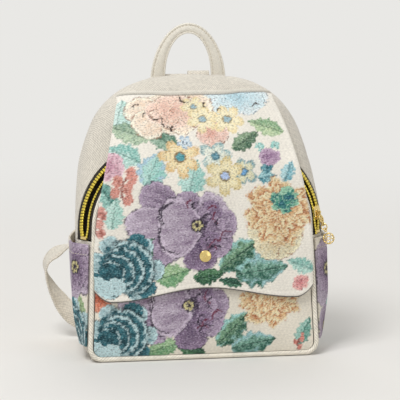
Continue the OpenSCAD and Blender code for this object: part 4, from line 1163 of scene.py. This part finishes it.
# %% Lining behind the zip
def lining_place(s, t):
    width, length, short = 23.5, 342, 0.022
    across = mix(edge_inset + 1, rear_tape + tape_w - 3, s)
    sag = 1.4 + 6.5 * np.sin(np.pi * s) ** 0.6 + 0.5 * ripple(across, 345 * t, 60, 6) * np.sin(np.pi * s)
    # It stops short of the two ends, where the tapes close over it.
    return zip_point(6 * mix(short, 1 - short, t), across, -sag), np.stack([s * width, t * length], axis=1)


strip = lay_cloth("lining_strip", 12, 220, lining_place, 0.5)
wear(strip, lining, "zip_tape")
print("lining strip area", round(strip["area"], 5), "m2")

# %% [markdown]
# ## Teeth
# One tooth is modelled from a block with softened edges, and then set along each row at its pitch of 3 mm. A tooth's
# jaws are clamped over the edge of the tape, so it reaches 1.8 mm onto it. All copies of a row are one mesh, because
# hundreds of separate objects would be slow.

# %% One tooth
jaw = 1.8
deselect()
bpy.ops.mesh.primitive_cube_add(size=1)
tooth = bpy.context.object
tooth.name = "tooth_pattern"
tooth.scale = ((tooth_w + jaw) * MM, 0.85 * tooth_pitch * MM, (tooth_h - 0.2) * MM)
bpy.ops.object.transform_apply(scale=True)
edit_all((bpy.ops.mesh.bevel, {"offset": 0.4 * MM, "segments": 1, "affect": "EDGES"}))
print("tooth:", len(tooth.data.polygons), "faces")


def copies(name, pattern, spots, xs, ys, zs):
    """One mesh from copies of a pattern, each set at a spot in millimetres with its own three directions."""
    points = np.array([v.co[:] for v in pattern.data.vertices])
    axes = np.stack([xs, ys, zs], axis=1)
    placed = np.einsum("pk,nkc->npc", points, axes) + (spots * MM)[:, None, :]
    faces = [tuple(len(points) * n + i for i in face.vertices)
             for n in range(len(spots)) for face in pattern.data.polygons]
    mesh = bpy.data.meshes.new(name)
    mesh.from_pydata(placed.reshape(-1, 3).tolist(), [], faces)
    made = bpy.data.objects.new(name, mesh)
    bpy.context.scene.collection.objects.link(made)
    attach(made, "bag")
    return made


# %% [markdown]
# Half of the zip is a straight leg, the arc of the corner and half of the top. Each of the three gets a whole number
# of teeth, as near to the pitch as it goes, and the other half mirrors them.

# %% Rows of teeth
arc = (corner_r + slit_mid * cosd(strip_tilt)) * np.radians(90 - leg_tilt)
half_run = np.concatenate([np.arange(round(r / tooth_pitch)) / round(r / tooth_pitch) + k
                           for k, r in enumerate((zip_leg_run, arc, turn_x))])
run = np.concatenate([half_run, [3], 6 - half_run[::-1]])
for name, start, side in (("zip_teeth_front", front_row, 1), ("zip_teeth_rear", rear_row, -1)):
    middle = start + side * closing(run) + tooth_w / 2 - side * jaw / 2
    # The two rows are set half a pitch apart, so that they mesh where they close.
    q = run[:-1] + (np.diff(run) / 2 if side < 0 else 0)
    middle = middle[:-1]
    spots = zip_point(q, middle, 0.0)
    across = unit(zip_point(q, middle + 1, 0.0) - zip_point(q, middle - 1, 0.0)) * side
    out = unit(zip_point(q, middle, 1.0) - zip_point(q, middle, -1.0))
    if side > 0:
        # The front tape is pulled by the flap's weight, so its row turns in and shows its edge.
        turn = 50
        across, out = across * cosd(turn) - out * sind(turn), out * cosd(turn) + across * sind(turn)
    row = copies(name + "_cast", tooth, spots, across, np.cross(out, across), out)
    smooth(row, 40)
    wear(row, gold_teeth, "gold_metal", name)
    print(name, len(q), "teeth")
bpy.data.objects.remove(tooth)

# %% [markdown]
# ## Handle and shoulder straps
# Handle and straps are strips of canvas folded to a flat band and topstitched near both edges. The stitching pulls
# the band in, so it is thinnest there and fullest in the middle, and the inner edge of a tight bend gathers in
# small puckers. Each is a tube with a flat section, swept along the route that the band takes.

# %% A stitched band
cloth_t, handle_t, strap_w, strap_t, strap_bow = 3, 4.6, 23.5, 3, 26
handle_foot_w, handle_crown_w, handle_sew, handle_rise, handle_bow, handle_run = 16.5, 11.5, 18, 56, 140, 178
strap_top = strap_w / 2 + seam_gap
handle_half = strap_w + 3 * seam_gap + handle_foot_w / 2


def back_frame(points):
    """From the leaning back's own frame to the bag's."""
    c, k = cosd(back_lean), sind(back_lean)
    return at(points[:, 0], base_depth / 2 + points[:, 1] * c - points[:, 2] * k, points[:, 2] * c + points[:, 1] * k)


def band_section(s, width, thick, seam):
    """A flat band's section: across and up, thin at the stitching and round at the edges."""
    a = 2 * np.pi * s
    u = np.sign(np.cos(a)) * np.abs(np.cos(a)) ** 0.45
    full = np.sign(np.sin(a)) * np.abs(np.sin(a)) ** 0.5
    inward = width / 2 * (1 - np.abs(u))
    groove = 0.42 * np.exp(-((inward - seam) / 0.8) ** 2)
    return u * width / 2, full * (thick / 2) * (1 - groove)


def band_cut(s, u, width, run):
    """The cut of a band: the way round it, over the outer face and back under the inner one, and the way along."""
    return np.stack([np.where(s <= 0.5, width / 2 - u, width * 1.5 + u), run], axis=1)


print("handle", handle_foot_w, "mm wide at its feet, strap", strap_w, "mm")

# %% [markdown]
# The handle's band is bent on edge: sewn down with its two feet on the back, it rises in half an ellipse and is
# narrowest at the crown.

# %% Handle
def handle_path(t):
    """Middle of the band in the back's frame, with the direction across it, and its width."""
    leg = handle_sew / (2 * handle_sew + handle_bow)
    f = 180 * np.clip((t - leg) / (1 - 2 * leg), 0, 1)
    down = handle_sew * np.maximum(0, np.maximum((leg - t) / leg, (t - 1 + leg) / leg))
    x, v = handle_half * cosd(f), back_h + handle_rise * sind(f) - down
    return x, v, f, mix(handle_foot_w, handle_crown_w, sind(f))


def handle_place(s, t):
    x, v, f, width = handle_path(t)
    u, w = band_section(s, width - 0.3, handle_t - 0.2, 2.4)
    bend = sind(f)
    # Gathers along the outer row of stitches, and a soft roll over the whole band.
    pucker = 0.55 * np.sin(t * 2 * np.pi * 38 + 1.5 * np.sin(t * 40)) * np.clip(u / 4, 0, 1) * (0.4 + 0.6 * bend)
    roll = 0.5 * np.sin(t * 9.0) * bend
    y = cloth_t + seam_gap + handle_t / 2 + w + np.sign(w) * np.minimum(0, pucker) + 0.3 * roll
    return back_frame(at(x + u * cosd(f), y, v + u * sind(f))), band_cut(s, u, width, t * handle_run)


handle = lay_cloth("handle_canvas", 40, 220, handle_place, 0, tube=True)
wear(handle, pale_canvas, "canvas_pale", "handle")

# %% [markdown]
# A strap leaves the top of the back, bows away from it and comes back to the lower corner. The left one has slipped
# round the side, as in the photograph. A few points give the route, and a smooth curve (Catmull-Rom) runs through
# them, carrying the way that the band looks along with it.

# %% Routes of the straps
# Share of the way from the sewn end to the back's edge, share of the bow, share of the back's height, and the way
# that the band's outer face looks.
left_route = np.array([
    [0, 0, 0.95, 0, 1, 0], [0, 0.04, 0.985, 0, 0.9, 0.3], [0, 0.22, 1.015, 0, 0.1, 1],
    [0.01, 0.5, 1, 0, 0.9, 0.6], [0.07, 0.75, 0.93, 0, 1, 0.1], [0.22, 0.95, 0.78, 0, 1, 0],
    [0.44, 1, 0.59, 0, 1, 0.1], [0.73, 1, 0.435, 0, 0.8, 0.5], [1, 0.95, 0.36, 0, 0.3, 0.9],
    [1.19, 0.85, 0.325, -0.3, -0.2, 0.9], [1.3, 0.72, 0.28, -1, -0.1, 0.2],
    [1.28, 0.6, 0.225, -0.9, 0.2, -0.4], [1.2, 0.48, 0.165, -0.6, 0.5, -0.6],
    [1.11, 0.32, 0.115, -0.4, 0.8, -0.4], [0.99, 0.12, 0.078, -0.1, 1, -0.2], [0.84, 0, 0.065, 0, 1, 0]])
right_route = np.array([
    [0, 0, 0.95, 0, 1, 0], [0, 0.04, 0.985, 0, 0.9, 0.3], [0, 0.22, 1.025, 0, 0.1, 1],
    [0.01, 0.5, 1.01, 0, 0.9, 0.6], [0.07, 0.75, 0.93, 0, 1, 0.1], [0.2, 0.95, 0.8, 0, 1, 0],
    [0.35, 1, 0.64, 0, 1, 0], [0.51, 1, 0.48, 0, 1, 0], [0.64, 0.85, 0.33, 0, 1, 0],
    [0.74, 0.5, 0.2, 0, 1, 0], [0.8, 0.14, 0.115, 0, 1, 0], [0.82, 0, 0.065, 0, 1, 0]])


def strap_path(route, hand, t):
    """Middle, sideways and outward directions of a strap, on a smooth curve through the route's points."""
    n = len(route) - 1
    k = np.minimum((t * n).astype(int), n - 1)
    e = (t * n - k)[:, None]
    a, b, c, d = (route[np.clip(k + i, 0, n)] for i in (-1, 0, 1, 2))
    p = 0.5 * (2 * b + (c - a) * e + (2 * a - 5 * b + 4 * c - d) * e ** 2 + (3 * b - a - 3 * c + d) * e ** 3)
    slope = 0.5 * ((c - a) + 2 * (2 * a - 5 * b + 4 * c - d) * e + 3 * (3 * b - a - 3 * c + d) * e ** 2)
    mid = at(hand * mix(strap_top, back_half, p[:, 0]),
             p[:, 1] * strap_bow + cloth_t + seam_gap + strap_t / 2, p[:, 2] * back_h)
    along = unit(slope[:, :3] * [hand * (back_half - strap_top), strap_bow, back_h] + 1e-9)
    side = unit(np.cross(along, p[:, 3:]))
    return mid, side, np.cross(side, along)


print("points on the routes:", len(left_route), "left,", len(right_route), "right")

# %% Straps
def strap_wave(u, t, hand):
    """A strap's slight unevenness, which ends where it is sewn on."""
    return 0.35 * (1 + ripple(u, t * 480, 30, 2 + hand)) * np.minimum(1, 12 * np.minimum(t, 1 - t))


def strap_place(route, hand):
    marks = np.linspace(0, 1, 601)
    run = run_length(strap_path(route, hand, marks)[0])

    def place(s, t):
        mid, side, up = strap_path(route, hand, t)
        u, w = band_section(s, strap_w - 0.3, strap_t - 0.1, 3)
        points = mid + side * u[:, None] + up * (w + strap_wave(u, t, hand))[:, None]
        return back_frame(points), band_cut(s, u, strap_w, np.interp(t, marks, run))
    return place


for name, route, hand in (("strap_left", left_route, -1), ("strap_right", right_route, 1)):
    piece = lay_cloth(name + "_canvas", 44, 300, strap_place(route, hand), 0, tube=True)
    wear(piece, canvas, "canvas", name)

# %% [markdown]
# ## Cast pieces
# The slider, its pull, the ring and the snap are small castings. Their shapes are already right in the CAD model,
# so copies are taken, merged and given the soft edges of a casting with Bevel, because a sharp edge on plated metal
# catches no light.

# %% Castings from the CAD nodes
def merged_copy(name, node, *steps):
    """A copy of a CAD node, selected, with its doubled points merged and then those steps run on it."""
    made = bpy.data.objects.new(name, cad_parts[node].data.copy())
    bpy.context.scene.collection.objects.link(made)
    pick(made)
    edit_all((bpy.ops.mesh.remove_doubles, {"threshold": 0.005 * MM}), *steps)
    return made


def casting(node, body, width):
    """A node as a casting: its flat faces joined, its edges rounded by that width in millimetres."""
    made = merged_copy(node + "_cast", node, (bpy.ops.mesh.dissolve_limited, {"angle_limit": math.radians(1)}))
    if width:
        finish_modifier(made, "BEVEL", width=width * MM, segments=2, limit_method="ANGLE",
                        angle_limit=math.radians(30))
    smooth(made, 40)
    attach(made, body)
    return wear(made, gold, "gold_metal", node)


for node, body, width in (("zip_slider", "zip_slider", 0.25), ("zip_pull", "zip_pull", 0.2), ("zip_stops", "bag", 0.2),
                          ("snap_cap", "bag", 0.15), ("snap_socket", "bag", 0.15), ("snap_stud", "bag", 0.15),
                          ("pull_ring", "pull_ring", 0.0)):
    casting(node, body, width)

# %% [markdown]
# ## Filigree charm
# The charm is a hollow ball of cast openwork on a short neck and a loop. A ball of triangles has its corners cut
# off by a vertex bevel, which leaves a net of six-sided holes; Wireframe turns the net's edges into wires, and one
# subdivision rounds them.

# %% Filigree ball
low, high = (np.array(c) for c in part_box("charm"))
ball_r = (high[0] - low[0]) / 2
ball = low + ball_r
net_cut, wire_t = 2.6, 1.2
deselect()
bpy.ops.mesh.primitive_ico_sphere_add(subdivisions=1, radius=ball_r - 0.4 * MM)
charm = bpy.context.object
charm.name = "charm_filigree"
edit_all((bpy.ops.mesh.bevel, {"offset": net_cut * MM, "segments": 1, "affect": "VERTICES"}),
         (bpy.ops.mesh.subdivide, {"number_cuts": 1}), (bpy.ops.transform.tosphere, {"value": 1.0}))
finish_modifier(charm, "WIREFRAME", thickness=wire_t * MM, offset=0.0, use_even_offset=True)
finish_modifier(charm, "SUBSURF", levels=1, render_levels=1)
edit_all((bpy.ops.transform.translate, {"value": tuple(ball)}))
print("charm ball radius", round(ball_r * 1000, 2), "mm,", len(charm.data.polygons), "faces")

# %% [markdown]
# The neck and the loop are right in the CAD model. A copy of it loses the faces of its plain ball, and what is left
# is joined to the net.

# %% Neck and loop
loop = merged_copy("charm_loop", "charm", (bpy.ops.mesh.select_all, {"action": "DESELECT"}))
# The CAD model's own ball goes, and its neck and loop stay.
for face in loop.data.polygons:
    far = max(np.linalg.norm(np.array(loop.data.vertices[i].co) - ball) for i in face.vertices)
    face.select = bool(far < ball_r + 0.05 * MM)
bpy.ops.object.mode_set(mode="EDIT")
bpy.ops.mesh.delete(type="FACE")
bpy.ops.object.mode_set(mode="OBJECT")
charm.select_set(True)
bpy.context.view_layer.objects.active = charm
bpy.ops.object.join()
smooth(charm, 60)
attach(charm, "charm")
wear(charm, gold, "gold_metal", "charm")

# %% [markdown]
# ## Seam rib and stitching
# The flap's seam is covered by a narrow folded strip, topstitched on the gusset, which shows as a pale rib between
# two shadow lines; both are partly painted shade, a dark band on the flap's top edge below and a darker thread above.
# Thread is what makes sewn work look sewn: one stitch is modelled as a short rounded bar, and copies of it are set
# along each seam, 3 to 4 mm apart, sunk into the groove that the thread pulls.

# %% Seam rib
def rib_place(s, t):
    side, width, length, height = 1 - 2 * t, 5, 190, 3.0
    points = flap_seam(side * 0.995, mix(0.012, 0.046, s))
    rise = height * np.sin(np.pi * s) ** 0.45 * np.minimum(1, (1 - np.abs(side)) / 0.03)
    lay = 0.15 * ripple(s * 4, t * length, 14, 4) * (s > 0) * (s < 1)
    return points + core_out(points) * (rise + 0.05 + lay)[:, None], np.stack([s * width, t * length], axis=1)


rib = lay_cloth("seam_rib_canvas", 10, 150, rib_place, 0.6)
wear(rib, pale_canvas, "canvas_pale")

# %% One stitch
stitch_size = (2.5 * MM, 0.75 * MM, 0.6 * MM)
deselect()
bpy.ops.mesh.primitive_uv_sphere_add(segments=6, ring_count=4, radius=0.5)
stitch = bpy.context.object
stitch.name = "stitch_pattern"
edit_all((bpy.ops.transform.rotate, {"value": math.pi / 2, "orient_axis": "Y", "center_override": (0, 0, 0)}),
         (bpy.ops.transform.resize, {"value": stitch_size}))
print("stitch:", len(stitch.data.polygons), "faces")


def sew(name, path, out, pitch=3.4, yarn=thread):
    """Sets stitches along a path of points, in millimetres, on a face that looks out."""
    run = run_length(path)
    spots = np.arange(pitch / 2, run[-1], pitch)
    place, along, face = (np.stack([np.interp(spots, run, values[:, k]) for k in range(3)], axis=1)
                          for values in (path, np.gradient(path, axis=0), out))
    along = unit(along)
    across = unit(np.cross(face, along))
    row = copies(name, stitch, place, along, across, np.cross(along, across))
    smooth(row, 60)
    wear(row, yarn, "canvas_pale")
    return len(spots)


# %% Stitches on the handle
t = np.linspace(0.02, 0.98, 300)
x, v, f, width = handle_path(t)
sewn = 0
for edge in (-1, 1):
    u = edge * (width / 2 - 2.5)
    for face in (-1, 1):
        y = cloth_t + seam_gap + handle_t / 2 + face * 1.5
        path = back_frame(at(x + u * cosd(f), y, v + u * sind(f)))
        sewn += sew(f"handle_stitches_{edge + 1}{face + 1}", path, at(0 * t, face, 0 * t))
print("handle:", sewn, "stitches")

# %% Stitches on the straps
t, inset = np.linspace(0.01, 0.99, 600), strap_w / 2 - 3.1
for name, route, hand in (("strap_left", left_route, -1), ("strap_right", right_route, 1)):
    mid, side, up = strap_path(route, hand, t)
    sewn = 0
    for edge in (-1, 1):
        for face in (-1, 1):
            rise = strap_wave(edge * inset, t, hand) + face * 0.95
            path = back_frame(mid + side * edge * inset + up * rise[:, None])
            sewn += sew(f"{name}_stitches_{edge + 1}{face + 1}", path, up * face, 3.8)
    print(name, sewn, "stitches")

# %% Stitches on the pocket hems and the seam rib
u, z = np.linspace(0.02, 0.98, 200), pocket_top - hem_w
for hand, name in ((1, "pocket_right"), (-1, "pocket_left")):
    stand = pocket_stand(u, (z - pocket_foot) / (pocket_top - pocket_foot)) + pocket_t - 0.35
    path = side_point(z + 0 * u, pocket_depth(u), stand + pocket_wave(u, z, hand))
    print(name, sew(name + "_stitches", path * [hand, 1, 1], at(hand + 0 * u, 0, 0)), "stitches")
side = np.linspace(0.96, -0.96, 300)
# The rib's own row lies in the crease behind it, in a darker thread: painted shade for the shadow line above the rib.
path = flap_seam(side, 0.054)
sewn = sew("seam_rib_stitches", path + core_out(path) * 0.35, core_out(path), 2.9, painted_shade_thread)
print("seam rib", sewn, "stitches")
bpy.data.objects.remove(stitch)

# %% [markdown]
